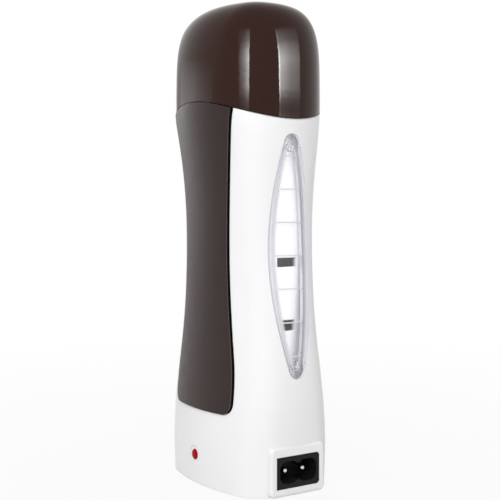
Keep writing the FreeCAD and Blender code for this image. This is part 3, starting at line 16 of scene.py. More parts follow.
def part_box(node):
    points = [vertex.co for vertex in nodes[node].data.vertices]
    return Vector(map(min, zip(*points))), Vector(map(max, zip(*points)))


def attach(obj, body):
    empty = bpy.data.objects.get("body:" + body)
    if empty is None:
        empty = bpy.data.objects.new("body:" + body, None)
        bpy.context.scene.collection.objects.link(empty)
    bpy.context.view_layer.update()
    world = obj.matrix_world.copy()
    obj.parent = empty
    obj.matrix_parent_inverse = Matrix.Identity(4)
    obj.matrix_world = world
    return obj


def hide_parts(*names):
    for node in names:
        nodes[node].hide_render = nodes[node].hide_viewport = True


bl_info = {
    "name": "Roll-On Wax Heater",
    "version": (1, 0, 0),
    "blender": (4, 5, 0),
    "location": "3D View > Sidebar > Wax Heater",
    "description": "Finishes, fittings, light and camera for the packed wax heater",
    "category": "Object",
}

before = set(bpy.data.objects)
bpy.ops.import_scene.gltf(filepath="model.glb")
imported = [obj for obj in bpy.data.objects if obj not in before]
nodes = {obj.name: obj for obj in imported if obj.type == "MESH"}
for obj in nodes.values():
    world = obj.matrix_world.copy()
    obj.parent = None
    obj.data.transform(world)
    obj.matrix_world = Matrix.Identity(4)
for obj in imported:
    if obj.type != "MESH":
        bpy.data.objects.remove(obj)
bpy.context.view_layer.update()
MM = 0.001


# ---------------------------------------------------------------- sizes and colours

def colour(label, about, value):
    """A colour property, written in the linear values that the shader takes."""
    return FloatVectorProperty(name=label, description=about, subtype="COLOR", size=3, min=0, max=1,
                               default=value)


def length(label, about, value):
    """A length property in metres, given here in millimetres."""
    return FloatProperty(name=label, description=about, subtype="DISTANCE", unit="LENGTH", min=0,
                         precision=5, default=value * MM)


def power(label, about, value):
    """A lamp's power property, in watts."""
    return FloatProperty(name=label, description=about, unit="POWER", min=0, default=value)


class HeaterColours(bpy.types.PropertyGroup):
    """Base colours of the heater's mouldings, metals and inner parts."""
    casing: colour("Casing", "Glossy white moulding", (0.90, 0.90, 0.91))
    inner: colour("Well and collar", "Plain white mouldings inside", (0.93, 0.93, 0.93))
    panel: colour("Panels", "Satin dark panels", (0.0200, 0.0085, 0.0070))
    # painted highlight: a paler line that stands for light caught along a panel's rounded long edges
    panel_edge_highlight: colour("Panel edges", "Paler line along a panel's long edges", (0.16, 0.13, 0.13))
    # painted shade: near black that stands for the shade in the seam around each panel
    panel_side_shade: colour("Panel sides", "Thin sides of a panel, in the seam's shade", (0.002, 0.002, 0.002))
    cap: colour("Cap", "Glossy dark cap", (0.0260, 0.0070, 0.0035))
    lens: colour("Windows", "Clear plastic", (0.97, 0.975, 1.0))
    # painted shade: a grey that stands for refraction in each window's rim and sides
    lens_rim_shade: colour("Window rims", "Cloudy moulded rim of each window", (0.82, 0.80, 0.86))
    marks: colour("Level marks", "Lines on the windows", (0.76, 0.76, 0.77))
    inlet: colour("Inlet housing", "Fine-grained black plastic", (0.010, 0.010, 0.010))
    pins: colour("Pins", "Plated brass", (0.80, 0.78, 0.74))
    lamp: colour("Indicator", "Red lens and lamp", (0.36, 0.0, 0.004))
    rubber: colour("Feet", "Soft grey feet", (0.05, 0.05, 0.05))
    steel: colour("Steel", "Zinc-plated screws and straps", (0.60, 0.60, 0.61))
    tinned: colour("Tinned brass", "Push-on connectors and crimps", (0.70, 0.64, 0.50))
    plate: colour("Heater plate", "Milled aluminium", (0.78, 0.78, 0.79))
    foil: colour("Foil", "Bright electrode foil", (0.84, 0.84, 0.85))
    fuse: colour("Fuse case", "Tinned fuse case", (0.80, 0.79, 0.75))
    mica: colour("Mica", "Flaky sheet", (0.34, 0.26, 0.15))
    stone: colour("Stones", "Fired ceramic", (0.075, 0.07, 0.066))
    yarn: colour("Sleeving", "Crowns of the glass yarn", (0.80, 0.77, 0.66))
    yarn_shade: colour("Sleeving shade", "Hollows between the yarns", (0.42, 0.39, 0.31))
    brown_lead: colour("Brown leads", "Live insulation", (0.085, 0.030, 0.012))
    blue_lead: colour("Blue lead", "Neutral insulation", (0.012, 0.06, 0.32))
    thin_lead: colour("Thin leads", "Indicator's insulation", (0.55, 0.52, 0.48))
    board: colour("Board", "Bare phenolic board", (0.30, 0.19, 0.06))


class HeaterSizes(bpy.types.PropertyGroup):
    """Sizes of the pieces that are modelled here, and of the finishes' detail."""
    edge_softness: length("Edge softness", "Radius that the moulded edges are shaded to", 0.35)
    panel_grain: length("Panel grain", "Size of the panels' fine texture", 0.35)
    # width of the painted highlight line along a panel's long edges
    panel_edge_highlight: length("Panel edge", "Width of the paler line along a panel's long edges", 0.8)
    inlet_grain: length("Inlet grain", "Size of the spark-eroded texture on the inlet", 0.30)
    hollow_half_width: length("Window hollow", "Half the width of the hollow behind each window", 6.7)
    hollow_side: length("Hollow arc", "Radius of the hollow's long sides", 203.8)
    # width of the painted dark line along each edge of a window
    lens_edge_shade: length("Window edge", "Width of the cloudy line along each edge of a window", 0.3)
    pin_radius: length("Pin radius", "Radius of a pin's barrel", 1.18)
    pin_reach: length("Pin reach", "How far each pin's barrel reaches back from its tip", 6.9)
    pin_tip: length("Pin tip", "How long the rounded end of each pin is", 1.1)
    pin_flat: length("Pin end", "Radius of the flat on the end of each pin", 0.25)
    pin_root: length("Pin root", "Radius of a pin inside the housing", 1.0)
    tab_length: length("Tab length", "How long each push-on tab is, up to the pin's root", 7.0)
    tab_half_width: length("Tab width", "Half the width of each push-on tab", 2.4)
    tab_half_thickness: length("Tab thickness", "Half the thickness of each push-on tab", 0.4)
    tab_taper: length("Tab taper", "How far the tab's corners are cut off", 0.8)
    lens_radius: length("Indicator radius", "Radius of the indicator lens in its hole", 2.0)
    lens_dome: length("Indicator dome", "How far the indicator lens bulges", 0.55)
    lens_reach: length("Indicator reach", "From the front of the lens back to its flange", 2.65)
    lens_flange: length("Indicator flange", "Thickness of the lens's retaining flange", 1.0)
    foot_groove: length("Foot groove", "Depth of the rings in each foot", 0.25)
    foot_edge: length("Foot edge", "Radius of the rounding under each foot", 0.3)


class StudioSettings(bpy.types.PropertyGroup):
    """Light levels, and the camera's place and lens."""
    ambient: FloatProperty(name="Ambient", description="Strength of the world's even light", min=0,
                           default=0.46)
    key_power: power("Key light", "Power of the broad soft light", 6.0)
    top_power: power("Top light", "Power of the soft light overhead", 2.6)
    front_power: power("Front light", "Power of the soft light on the front", 1.0)
    rear_power: power("Rear light", "Power of the soft light on the rear", 3.4)
    left_strip_power: power("Left strip", "Power of the left strip that the cap mirrors", 20.0)
    right_strip_power: power("Right strip", "Power of the right strip that the cap mirrors", 100.0)
    low_glow_power: power("Low glow", "Power of the low glow that the cap's front mirrors", 3.5)
    panel_glow_power: power("Panel glow", "Power of the glow that the front panel mirrors", 3.0)
    window_power: power("Window lights", "Power of the fill at each window", 1.0)
    camera_place: FloatVectorProperty(name="Camera", description="Where the camera is", subtype="TRANSLATION",
                                      unit="LENGTH", size=3, precision=4,
                                      default=(0.34408, -0.22708, 0.11223))
    camera_aim: FloatVectorProperty(name="Camera direction", description="Which way the camera looks",
                                    subtype="DIRECTION", size=3, precision=4, default=(-0.8332, 0.5530, 0.0))
    camera_lens: FloatProperty(name="Lens", description="Focal length in millimetres", min=10, default=70.15)
    camera_shift: FloatProperty(name="Vertical shift", description="How far up the frame is moved",
                                default=-0.0811)


# ---------------------------------------------------------------- node trees

WHITE = (1, 1, 1, 1)


class Tree:
    """Adds nodes to one shader tree and wires them by input name or number."""

    def __init__(self, owner, keep=False):
        owner.use_nodes = True
        self.tree = owner.node_tree
        if not keep:
            self.tree.nodes.clear()

    def only(self, kind):
        """The one node of a kind."""
        found, = (node for node in self.tree.nodes if node.type == kind)
        return found

    def join(self, output, socket):
        """Wire an output to an input."""
        self.tree.links.new(output, socket)

    def add(self, kind, inputs=None, **settings):
        """A new node, with its settings and its inputs, each a value or another node's output."""
        node = self.tree.nodes.new("ShaderNode" + kind)
        for name, value in settings.items():
            setattr(node, name, value)
        for name, value in (inputs or {}).items():
            socket = node.inputs[name]
            if isinstance(value, bpy.types.NodeSocket):
                self.join(value, socket)
            else:
                socket.default_value = value
        return node

    def math(self, operation, first, second=0.0, clamp=False):
        """One or two numbers put through an operation."""
        return self.add("Math", {0: first, 1: second}, operation=operation, use_clamp=clamp).outputs[0]

    def vector(self, operation, first, second, output="Vector"):
        """Two vectors put through an operation."""
        return self.add("VectorMath", {0: first, 1: second}, operation=operation).outputs[output]

    def part(self, vector, axis):
        """One coordinate of a vector."""
        return self.add("SeparateXYZ", {0: vector}).outputs[axis]

    def spread(self, value, low, high, start=0.0, end=1.0):
        """Map a value from one range to another, held at the ends."""
        return self.add("MapRange", {0: value, 1: low, 2: high, 3: start, 4: end}).outputs[0]

    def place(self):
        """Where a point is on the object, in the row frame."""
        return self.add("TexCoord").outputs["Object"]

    def noise(self, size, detail=3.0, roughness=0.5, stretch=(1, 1, 1)):
        """Noise whose grains are about this many metres across, fixed to the object."""
        place = self.place()
        if stretch != (1, 1, 1):
            place = self.add("Mapping", {"Vector": place, "Scale": stretch}).outputs[0]
        return self.add("TexNoise", {"Vector": place, "Scale": 1.0 / size, "Detail": detail,
                                     "Roughness": roughness}).outputs["Fac"]

    def patches(self, size, start=0.0, end=1.0, detail=3.0, roughness=0.5):
        """Noise that wanders from one value to another, held at both."""
        return self.spread(self.noise(size, detail, roughness), 0.3, 0.7, start, end)

    def normals(self, radius, samples):
        """The true normal, and one that is rounded over edges to a radius."""
        true = self.add("NewGeometry").outputs["True Normal"]
        rounded = self.add("Bevel", {"Radius": radius}, samples=samples).outputs[0]
        return true, rounded

    def ramp(self, value, stops, interpolation="LINEAR"):
        """A colour that changes along a value, by (value, colour) stops."""
        node = self.add("ValToRGB", {0: value})
        node.color_ramp.interpolation = interpolation
        elements = node.color_ramp.elements
        for _ in range(len(stops) - len(elements)):
            elements.new(0.5)
        for element, (share, tone) in zip(elements, stops):
            element.position = share
            element.color = (*tone, 1.0)
        return node.outputs[0]

    def blend(self, share, first, second):
        """Mix two colours, each of them a socket or a triple."""
        first, second = (tone if isinstance(tone, bpy.types.NodeSocket) else (*tone, 1.0)
                         for tone in (first, second))
        return self.add("Mix", {0: share, 6: first, 7: second}, data_type="RGBA").outputs[2]

    def surface(self, shader):
        """Make a shader the material's surface."""
        self.add("OutputMaterial", {"Surface": shader.outputs[0]})


def scaled(base, factor):
    """A colour made paler or darker."""
    return tuple(min(1.0, channel * factor) for channel in base)


# cosines between the true and the rounded normal at which wear starts and is full
WEAR_STARTS, WEAR_FULL = 0.97, 0.80
# how much paler and rougher a fully worn plastic is
WORN_TONE, WORN_ROUGHNESS = 1.35, 0.15
# sizes of a plastic's slow drift of colour and of its haze, and of a metal's tarnished patches
DRIFT_SIZE, HAZE_SIZE, TARNISH_SIZE = 22 * MM, 6 * MM, 4 * MM
# tone of tarnish, and how far a metal's streaks swing its roughness each way
TARNISHED_TONE, STREAK_SWING = 0.88, 0.3


def edge_wear(tree, radius, true, rounded):
    """How rubbed a point is: most where the normal turns over an edge, broken up by scuffs."""
    turn = tree.vector("DOT_PRODUCT", rounded, true, "Value")
    scuff = tree.noise(radius * 6, 4.0, 0.6)
    return tree.math("MULTIPLY", tree.spread(turn, WEAR_STARTS, WEAR_FULL), tree.spread(scuff, 0.35, 0.75),
                     clamp=True)


def plastic(name, base, roughness, grain, depth, softness, specular=0.5, wear=0.25, drift=0.05,
            roughness_drift=0.08):
    """A moulded plastic: soft edges, fine texture, slow drifts of colour and gloss, rubbed edges."""
    material = bpy.data.materials.new(name)
    tree = Tree(material)
    true, rounded = tree.normals(softness, samples=4)
    bump = tree.add("Bump", {"Strength": 1.0, "Distance": depth, "Height": tree.noise(grain, 2.0),
                             "Normal": rounded})
    worn = edge_wear(tree, softness, true, rounded)
    tinted = tree.blend(tree.patches(DRIFT_SIZE), scaled(base, 1.0 - drift), scaled(base, 1.0 + drift))
    rubbed = tree.blend(tree.math("MULTIPLY", worn, wear), tinted, scaled(base, WORN_TONE))
    hazy = tree.patches(HAZE_SIZE, roughness - roughness_drift / 2, roughness + roughness_drift / 2, 5.0, 0.6)
    rough = tree.math("ADD", hazy, tree.math("MULTIPLY", worn, WORN_ROUGHNESS), clamp=True)
    tree.surface(tree.add("BsdfPrincipled", {
        "Base Color": rubbed, "Roughness": rough, "Normal": bump.outputs[0], "Specular IOR Level": specular}))
    return material


def metal(name, base, roughness, streak, stretch=(1, 1, 1)):
    """A worked metal: stretched streaks in its gloss and relief, and patches of tarnish."""
    material = bpy.data.materials.new(name)
    tree = Tree(material)
    lines = tree.noise(streak, 4.0, 0.6, stretch)
    tarnish = tree.spread(tree.noise(TARNISH_SIZE, 4.0), 0.35, 0.75)
    tinted = tree.blend(tarnish, base, scaled(base, TARNISHED_TONE))
    rough = tree.spread(lines, 0.25, 0.75, roughness * (1 - STREAK_SWING), roughness * (1 + STREAK_SWING))
    bump = tree.add("Bump", {"Strength": 0.5, "Distance": 0.02 * MM, "Height": lines})
    tree.surface(tree.add("BsdfPrincipled", {
        "Base Color": tinted, "Metallic": 1.0, "Roughness": rough, "Normal": bump.outputs[0]}))
    return material


def dress(material, *names):
    """Give CAD nodes a finish."""
    for name in names:
        node = nodes[name]
        node.data.materials.clear()
        node.data.materials.append(material)


# ---------------------------------------------------------------- turned pieces

def bowed(start, end, steps, bulge_first):
    """Points of a quarter ellipse between two (radius, height) corners."""
    (r0, z0), (r1, z1) = start, end
    points = []
    for step in range(steps + 1):
        turn = math.pi / 2 * step / steps
        along, across = math.sin(turn), 1 - math.cos(turn)
        if bulge_first:
            points.append((r0 + (r1 - r0) * across, z0 + (z1 - z0) * along))
        else:
            points.append((r0 + (r1 - r0) * along, z0 + (z1 - z0) * across))
    return points


# a ring narrower than this, in metres, is a single point
POINT_RADIUS = 1e-9


def turned(name, profile, place, steps=72):
    """A solid of revolution from (radius, height) pairs, put in place by a matrix."""
    shape = bmesh.new()
    rings = []
    for radius, height in profile:
        count = steps if radius > POINT_RADIUS else 1
        angles = [2 * math.pi * i / count for i in range(count)]
        rings.append([shape.verts.new((radius * math.cos(a), radius * math.sin(a), height)) for a in angles])
    for low, high in zip(rings, rings[1:]):
        for i in range(steps):
            corners = (low[i % len(low)], low[(i + 1) % len(low)],
                       high[(i + 1) % len(high)], high[i % len(high)])
            distinct = list(dict.fromkeys(corners))
            if len(distinct) > 2:
                shape.faces.new(distinct)
    bmesh.ops.recalc_face_normals(shape, faces=shape.faces)
    return finished(name, shape, place)


def finished(name, shape, place):
    """Turn a bmesh into a smooth-shaded object in the row frame."""
    mesh = bpy.data.meshes.new(name)
    shape.transform(place)
    shape.to_mesh(mesh)
    shape.free()
    mesh.shade_smooth()
    piece = bpy.data.objects.new(name, mesh)
    bpy.context.scene.collection.objects.link(piece)
    return piece


def settle(piece, material, slot, *replaced):
    """Finish a piece, fix it to the heater's body and let it stand for CAD nodes."""
    piece.data.materials.append(material)
    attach(piece, "heater")
    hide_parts(*replaced)


ALONG_X = Matrix.Rotation(math.pi / 2, 4, "Y")
TOWARDS_FRONT = Matrix.Rotation(math.pi / 2, 4, "X")


# ---------------------------------------------------------------- mouldings

class FinishCasing(bpy.types.Operator):
    """Glossy white for the casing and base, plain white for the well and collar"""
    bl_idname = "wax_heater.finish_casing"
    bl_label = "Finish casing"

    def execute(self, context):
        colours, sizes = context.scene.heater_colours, context.scene.heater_sizes
        gloss = plastic("white_gloss", colours.casing, roughness=0.20, grain=0.9 * MM, depth=0.0006 * MM,
                        softness=sizes.edge_softness, drift=0.012, wear=0.10)
        plain = plastic("white_plain", colours.inner, roughness=0.42, grain=0.4 * MM, depth=0.004 * MM,
                        softness=sizes.edge_softness, drift=0.012, wear=0.10)
        dress(gloss, "body_shell", "base_plate")
        dress(plain, "well_sleeve", "collar")
        return {"FINISHED"}


class FinishPanels(bpy.types.Operator):
    """Satin dark plastic for the front and rear panels"""
    bl_idname = "wax_heater.finish_panels"
    bl_label = "Finish panels"

    # specular level of the face and of the sides; the sides' is low so that their painted shade stays dark
    FACE_GLOSS, SIDE_GLOSS = 0.36, 0.05
    # sideways lean of the rounded normal over which the paler edge line, a painted highlight, grows
    HIGHLIGHT_LEAN = (0.14, 0.45)
    # forward part of the normal over which a side gives way to the face
    SIDE_FACING = (0.12, 0.24)

    def execute(self, context):
        colours, sizes = context.scene.heater_colours, context.scene.heater_sizes
        satin = plastic("dark_satin", colours.panel, roughness=0.36, grain=sizes.panel_grain,
                        depth=0.006 * MM, softness=sizes.edge_softness, specular=self.FACE_GLOSS, drift=0.06)
        self.shade_edges(satin, colours, sizes)
        dress(satin, "front_panel", "rear_panel")
        return {"FINISHED"}

    def shade_edges(self, material, colours, sizes):
        """Painted shade on the sides, near black with little gloss, for the seam's shade, and a painted
        highlight, a paler line, along the face's two long edges.
        """
        tree = Tree(material, keep=True)
        shader = tree.only("BSDF_PRINCIPLED")
        true, rounded = tree.normals(sizes.panel_edge_highlight, samples=8)
        # over a long edge the rounded normal leans sideways, and a side hardly faces front or rear
        lean = tree.part(tree.vector("SUBTRACT", rounded, true), "X")
        edge = tree.spread(tree.math("ABSOLUTE", lean), *self.HIGHLIGHT_LEAN)
        side = tree.spread(tree.math("ABSOLUTE", tree.part(true, "Y")), *self.SIDE_FACING, 1.0, 0.0)
        base = shader.inputs["Base Color"].links[0].from_socket
        # painted highlight: a paler line along the face's long edges
        face = tree.blend(edge, base, colours.panel_edge_highlight)
        # painted shade: the sides go near black with little gloss, as the seam's shade
        tree.join(tree.blend(side, face, colours.panel_side_shade), shader.inputs["Base Color"])
        tree.join(tree.spread(side, 0.0, 1.0, self.FACE_GLOSS, self.SIDE_GLOSS),
                  shader.inputs["Specular IOR Level"])


class FinishCap(bpy.types.Operator):
    """Glossy dark brown plastic for the lift-off cap"""
    bl_idname = "wax_heater.finish_cap"
    bl_label = "Finish cap"

    def execute(self, context):
        colours, sizes = context.scene.heater_colours, context.scene.heater_sizes
        shine = plastic("dark_shine", colours.cap, roughness=0.045, grain=1.2 * MM, depth=0.0002 * MM,
                        softness=sizes.edge_softness, specular=0.18, roughness_drift=0.015)
        dress(shine, "cap")
        return {"FINISHED"}


class FinishWindows(bpy.types.Operator):
    """Clear lenses with painted grey shade, standing for refraction, over the rim and sides, and the level
    lines on them
    """
    bl_idname = "wax_heater.finish_windows"
    bl_label = "Finish windows"

    # refraction over the thin hollow part, and in the solid tips
    THIN_BEND, SOLID_BEND = 1.12, 1.49
    # how much painted grey shade, standing for refraction and the seam's shadow, covers the moulded sides,
    # the rim and the edge lines, and what share of it the tips keep
    SIDE_CLOUD, RIM_CLOUD, EDGE_CLOUD, TIP_SHARE = 0.9, 0.55, 0.75, 0.35
    # distances from a window's point at which the solid tip starts and is full, and half the rim's blur
    TIP_START, TIP_FULL, RIM_BLUR = 9 * MM, 6 * MM, 0.2 * MM
    # outward part of the normal over which a moulded side gives way to the face
    SIDE_FACING = (0.25, 0.5)
    # cosines between the true and the rounded normal over which a dark edge line, painted shade, grows
    EDGE_TURN = (0.995, 0.93)
    # tones of the edge lines, darkened as painted shade, and of the faint drift in the clear plastic, as
    # shares of their colours
    EDGE_TONE, DRIFT_TONE = 0.42, 0.985
    # colour of what passes straight through
    PASSED_LIGHT = (0.97, 0.97, 0.98, 1.0)

    def execute(self, context):
        colours, sizes = context.scene.heater_colours, context.scene.heater_sizes
        dress(self.clear_plastic(colours, sizes), "window_left", "window_right")
        lines = plastic("mark_ink", colours.marks, roughness=0.5, grain=0.2 * MM, depth=0.003 * MM,
                        softness=0.05 * MM, drift=0.03)
        dress(lines, "level_marks_left", "level_marks_right")
        return {"FINISHED"}

    def zones(self, tree, sizes):
        """How far a point is in the rim outside the hollow, in a tip, and on a moulded side."""
        low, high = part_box("window_right")
        place = tree.place()
        rise = tree.math("ABSOLUTE", tree.math("SUBTRACT", tree.part(place, "Z"), (low.z + high.z) / 2))
        # the hollow behind the lens lies within two long arcs
        offset = sizes.hollow_side - sizes.hollow_half_width
        across = tree.math("ADD", tree.math("ABSOLUTE", tree.part(place, "Y")), offset)
        reach = tree.math("SQRT", tree.math("ADD", tree.math("MULTIPLY", across, across),
                                            tree.math("MULTIPLY", rise, rise)))
        rim = tree.spread(reach, sizes.hollow_side - self.RIM_BLUR, sizes.hollow_side + self.RIM_BLUR)
        half_height = (high.z - low.z) / 2
        tip = tree.spread(rise, half_height - self.TIP_START, half_height - self.TIP_FULL)
        facing = tree.part(tree.add("NewGeometry").outputs["True Normal"], "X")
        side = tree.spread(tree.math("ABSOLUTE", facing), *self.SIDE_FACING, 1.0, 0.0)
        return rim, tip, side

    def clear_plastic(self, colours, sizes):
        """Thin clear plastic over the hollow, with painted grey shade that stands for refraction in the rim
        and on the moulded sides.
        """
        material = bpy.data.materials.new("clear_lens_finish")
        tree = Tree(material)
        rim, tip, side = self.zones(tree, sizes)
        flow = tree.add("Bump", {"Strength": 0.4, "Distance": 0.03 * MM, "Height": tree.noise(8 * MM, 2.0)})
        hairlines = tree.noise(0.6 * MM, 5.0, 0.7, (1, 1, 0.06))
        tint = tree.blend(tree.patches(20 * MM), colours.lens, scaled(colours.lens, self.DRIFT_TONE))
        glass = tree.add("BsdfPrincipled", {
            "Base Color": tint, "Roughness": tree.spread(hairlines, 0.45, 0.75, 0.02, 0.07),
            "IOR": tree.spread(tip, 0.0, 1.0, self.THIN_BEND, self.SOLID_BEND), "Transmission Weight": 1.0,
            "Coat Weight": 0.8, "Coat Roughness": 0.03, "Normal": flow.outputs[0]})
        true, rounded = tree.normals(sizes.lens_edge_shade, samples=8)
        edge = tree.spread(tree.vector("DOT_PRODUCT", rounded, true, "Value"), *self.EDGE_TURN)
        # painted shade: grey over the rim and sides, darker along the edges, standing for refraction and the
        # seam's shadow
        grey_shade = tree.add("BsdfPrincipled", {
            "Base Color": tree.blend(edge, colours.lens_rim_shade, scaled(colours.lens_rim_shade, self.EDGE_TONE)),
            "Roughness": 0.25, "Normal": flow.outputs[0]})
        grey_shade_share = tree.math("MAXIMUM", tree.math("MULTIPLY", side, self.SIDE_CLOUD),
                           tree.math("MULTIPLY", rim, self.RIM_CLOUD))
        grey_shade_share = tree.math("MAXIMUM", grey_shade_share, tree.math("MULTIPLY", edge, self.EDGE_CLOUD))
        grey_shade_share = tree.math("MULTIPLY", grey_shade_share, tree.spread(tip, 0.0, 1.0, 1.0, self.TIP_SHARE))
        body = tree.add("MixShader", {0: grey_shade_share, 1: glass.outputs[0], 2: grey_shade.outputs[0]})
        # lamps and bounced light pass straight through, so that the well behind is lit
        path = tree.add("LightPath").outputs
        passing = tree.math("MAXIMUM", path["Is Shadow Ray"], path["Is Diffuse Ray"])
        clear = tree.add("BsdfTransparent", {"Color": self.PASSED_LIGHT})
        tree.surface(tree.add("MixShader", {0: passing, 1: body.outputs[0], 2: clear.outputs[0]}))
        return material


# ---------------------------------------------------------------- inlet, indicator and feet

class BuildInlet(bpy.types.Operator):
    """Black inlet housing and two round-ended pins, each with its flat tab at the rear"""
    bl_idname = "wax_heater.build_inlet"
    bl_label = "Build inlet"

    # the rounding where a pin's barrel begins: its inner radius as a share of the barrel's, and its length
    SHOULDER_SHARE, SHOULDER_LENGTH = 0.97, 0.2 * MM

    def execute(self, context):
        colours, sizes = context.scene.heater_colours, context.scene.heater_sizes
        black = plastic("black_grain", colours.inlet, roughness=0.40, grain=sizes.inlet_grain,
                        depth=0.01 * MM, softness=0.2 * MM, specular=0.15, wear=0.5)
        dress(black, "power_inlet")
        plated = metal("plated_pin", colours.pins, 0.16, 0.4 * MM, (0.1, 1, 1))
        for side in ("line", "neutral"):
            low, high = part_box(f"inlet_pin_{side}")
            middle = (low + high) / 2
            tab_end = low.x + sizes.tab_length
            profile = self.pin_profile(sizes, tab_end, high.x)
            pin = turned(f"pin_{side}", profile, Matrix.Translation((0, middle.y, middle.z)) @ ALONG_X)
            self.add_tab(pin, sizes, low.x, tab_end, middle)
            settle(pin, plated, "pin_brass", f"inlet_pin_{side}")
        return {"FINISHED"}

    def pin_profile(self, sizes, start, tip):
        """Half the outline of a pin: root, shoulder, barrel and rounded end."""
        root, barrel = sizes.pin_root, sizes.pin_radius
        shoulder, neck = barrel * self.SHOULDER_SHARE, tip - sizes.pin_reach
        profile = [(0, start), (root, start), (root, neck), (shoulder, neck)]
        profile += bowed((shoulder, neck), (barrel, neck + self.SHOULDER_LENGTH), 3, bulge_first=False)[1:]
        profile += bowed((barrel, tip - sizes.pin_tip), (sizes.pin_flat, tip), 8, bulge_first=True)
        return profile + [(0, tip)]

    def add_tab(self, pin, sizes, start, tab_end, middle):
        """A push-on tab with a tapered end, joined to the pin's mesh."""
        overlap, edge_round = 1.2 * MM, 0.08 * MM
        end, half_width, taper = tab_end + overlap, sizes.tab_half_width, sizes.tab_taper
        outline = [(end, -half_width), (start + taper, -half_width), (start, -half_width + taper),
                   (start, half_width - taper), (start + taper, half_width), (end, half_width)]
        shape = bmesh.new()
        shape.from_mesh(pin.data)
        top, low = ([shape.verts.new((x, middle.y + y, middle.z + height)) for x, y in outline]
                    for height in (sizes.tab_half_thickness, -sizes.tab_half_thickness))
        faces = [shape.faces.new(top), shape.faces.new(low[::-1])]
        count = len(outline)
        faces += [shape.faces.new((top[i], low[i], low[(i + 1) % count], top[(i + 1) % count]))
                  for i in range(count)]
        edges = list(dict.fromkeys(edge for face in faces for edge in face.edges))
        bmesh.ops.bevel(shape, geom=edges, offset=edge_round, segments=2, profile=0.5, affect="EDGES")
        bmesh.ops.recalc_face_normals(shape, faces=shape.faces)
        shape.to_mesh(pin.data)
        shape.free()
        pin.data.shade_smooth()


class BuildIndicator(bpy.types.Operator):
    """Domed red indicator lens with its retaining flange, and the lamp behind it"""
    bl_idname = "wax_heater.build_indicator"
    bl_label = "Build indicator"

    def execute(self, context):
        colours, sizes = context.scene.heater_colours, context.scene.heater_sizes
        red = plastic("red_lens_finish", colours.lamp, roughness=0.10, grain=0.6 * MM, depth=0.002 * MM,
                      softness=0.1 * MM, specular=0.06, drift=0.10)
        low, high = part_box("indicator_lens")
        middle = (low + high) / 2
        profile = self.lens_profile(sizes, (high.x - low.x) / 2, high.y - low.y)
        place = Matrix.Translation((middle.x, high.y, middle.z)) @ TOWARDS_FRONT
        settle(turned("indicator_dome", profile, place), red, "red_lens", "indicator_lens")
        dress(red, "indicator_lamp")
        return {"FINISHED"}

    def lens_profile(self, sizes, flange, face):
        """Half the outline of the lens, from its chamfered back to its domed face."""
        radius, chamfer = sizes.lens_radius, 0.3 * MM
        back_share, dome_share = 0.8, 0.6
        seat = face - sizes.lens_reach
        flange_back = seat - sizes.lens_flange
        shoulder = (radius, face - sizes.lens_dome * dome_share)
        profile = [(0, 0), (radius * back_share, 0), (radius, chamfer), (radius, flange_back),
                   (flange, flange_back), (flange, seat), (radius, seat)]
        return profile + bowed(shoulder, (0, face), 14, bulge_first=True)


class BuildFeet(bpy.types.Operator):
    """Four soft feet with a rounded rim and two ring grooves underneath"""
    bl_idname = "wax_heater.build_feet"
    bl_label = "Build feet"

    # inner and outer edge of each groove, and the slope of its walls, as shares of the foot's radius
    GROOVES, WALL_SLOPE = ((0.30, 0.40), (0.60, 0.70)), 0.02

    def execute(self, context):
        colours, sizes = context.scene.heater_colours, context.scene.heater_sizes
        rubber = plastic("soft_rubber", colours.rubber, roughness=0.62, grain=0.3 * MM, depth=0.012 * MM,
                         softness=0.1 * MM, specular=0.3, drift=0.12, wear=0.6)
        for corner in ("front_left", "front_right", "rear_left", "rear_right"):
            low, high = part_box(f"foot_{corner}")
            middle = (low + high) / 2
            profile = self.foot_profile(sizes, (high.x - low.x) / 2, high.z)
            foot = turned(f"foot_pad_{corner}", profile, Matrix.Translation((middle.x, middle.y, 0)))
            settle(foot, rubber, "foot_rubber", f"foot_{corner}")
        return {"FINISHED"}

    def foot_profile(self, sizes, radius, height):
        """Half the outline of a foot, from the middle of its underside up."""
        edge, chamfer = sizes.foot_edge, 0.1 * MM
        profile = [(0, 0)]
        for inner, outer in self.GROOVES:
            profile += [(radius * inner, 0), (radius * (inner + self.WALL_SLOPE), sizes.foot_groove),
                        (radius * (outer - self.WALL_SLOPE), sizes.foot_groove), (radius * outer, 0)]
        profile += bowed((radius - edge, 0), (radius, edge), 5, bulge_first=False)
        return profile + [(radius, height - chamfer), (radius - chamfer, height), (0, height)]


# ---------------------------------------------------------------- parts inside

class FinishFastenings(bpy.types.Operator):
    """Zinc-plated screws and sprung steel straps, tinned connectors and crimps"""
    bl_idname = "wax_heater.finish_fastenings"
    bl_label = "Finish fastenings"

    def execute(self, context):
        colours = context.scene.heater_colours
        steel = metal("zinc_steel", colours.steel, 0.32, 0.6 * MM)
        tinned = metal("tinned_brass", colours.tinned, 0.35, 0.5 * MM, (0.2, 1, 1))
        dress(steel, "base_screws", "sleeve_screws", "clip_screws", "heater_clip", "fuse_strap")
        dress(tinned, "spade_terminals", "splice_crimps")
        return {"FINISHED"}


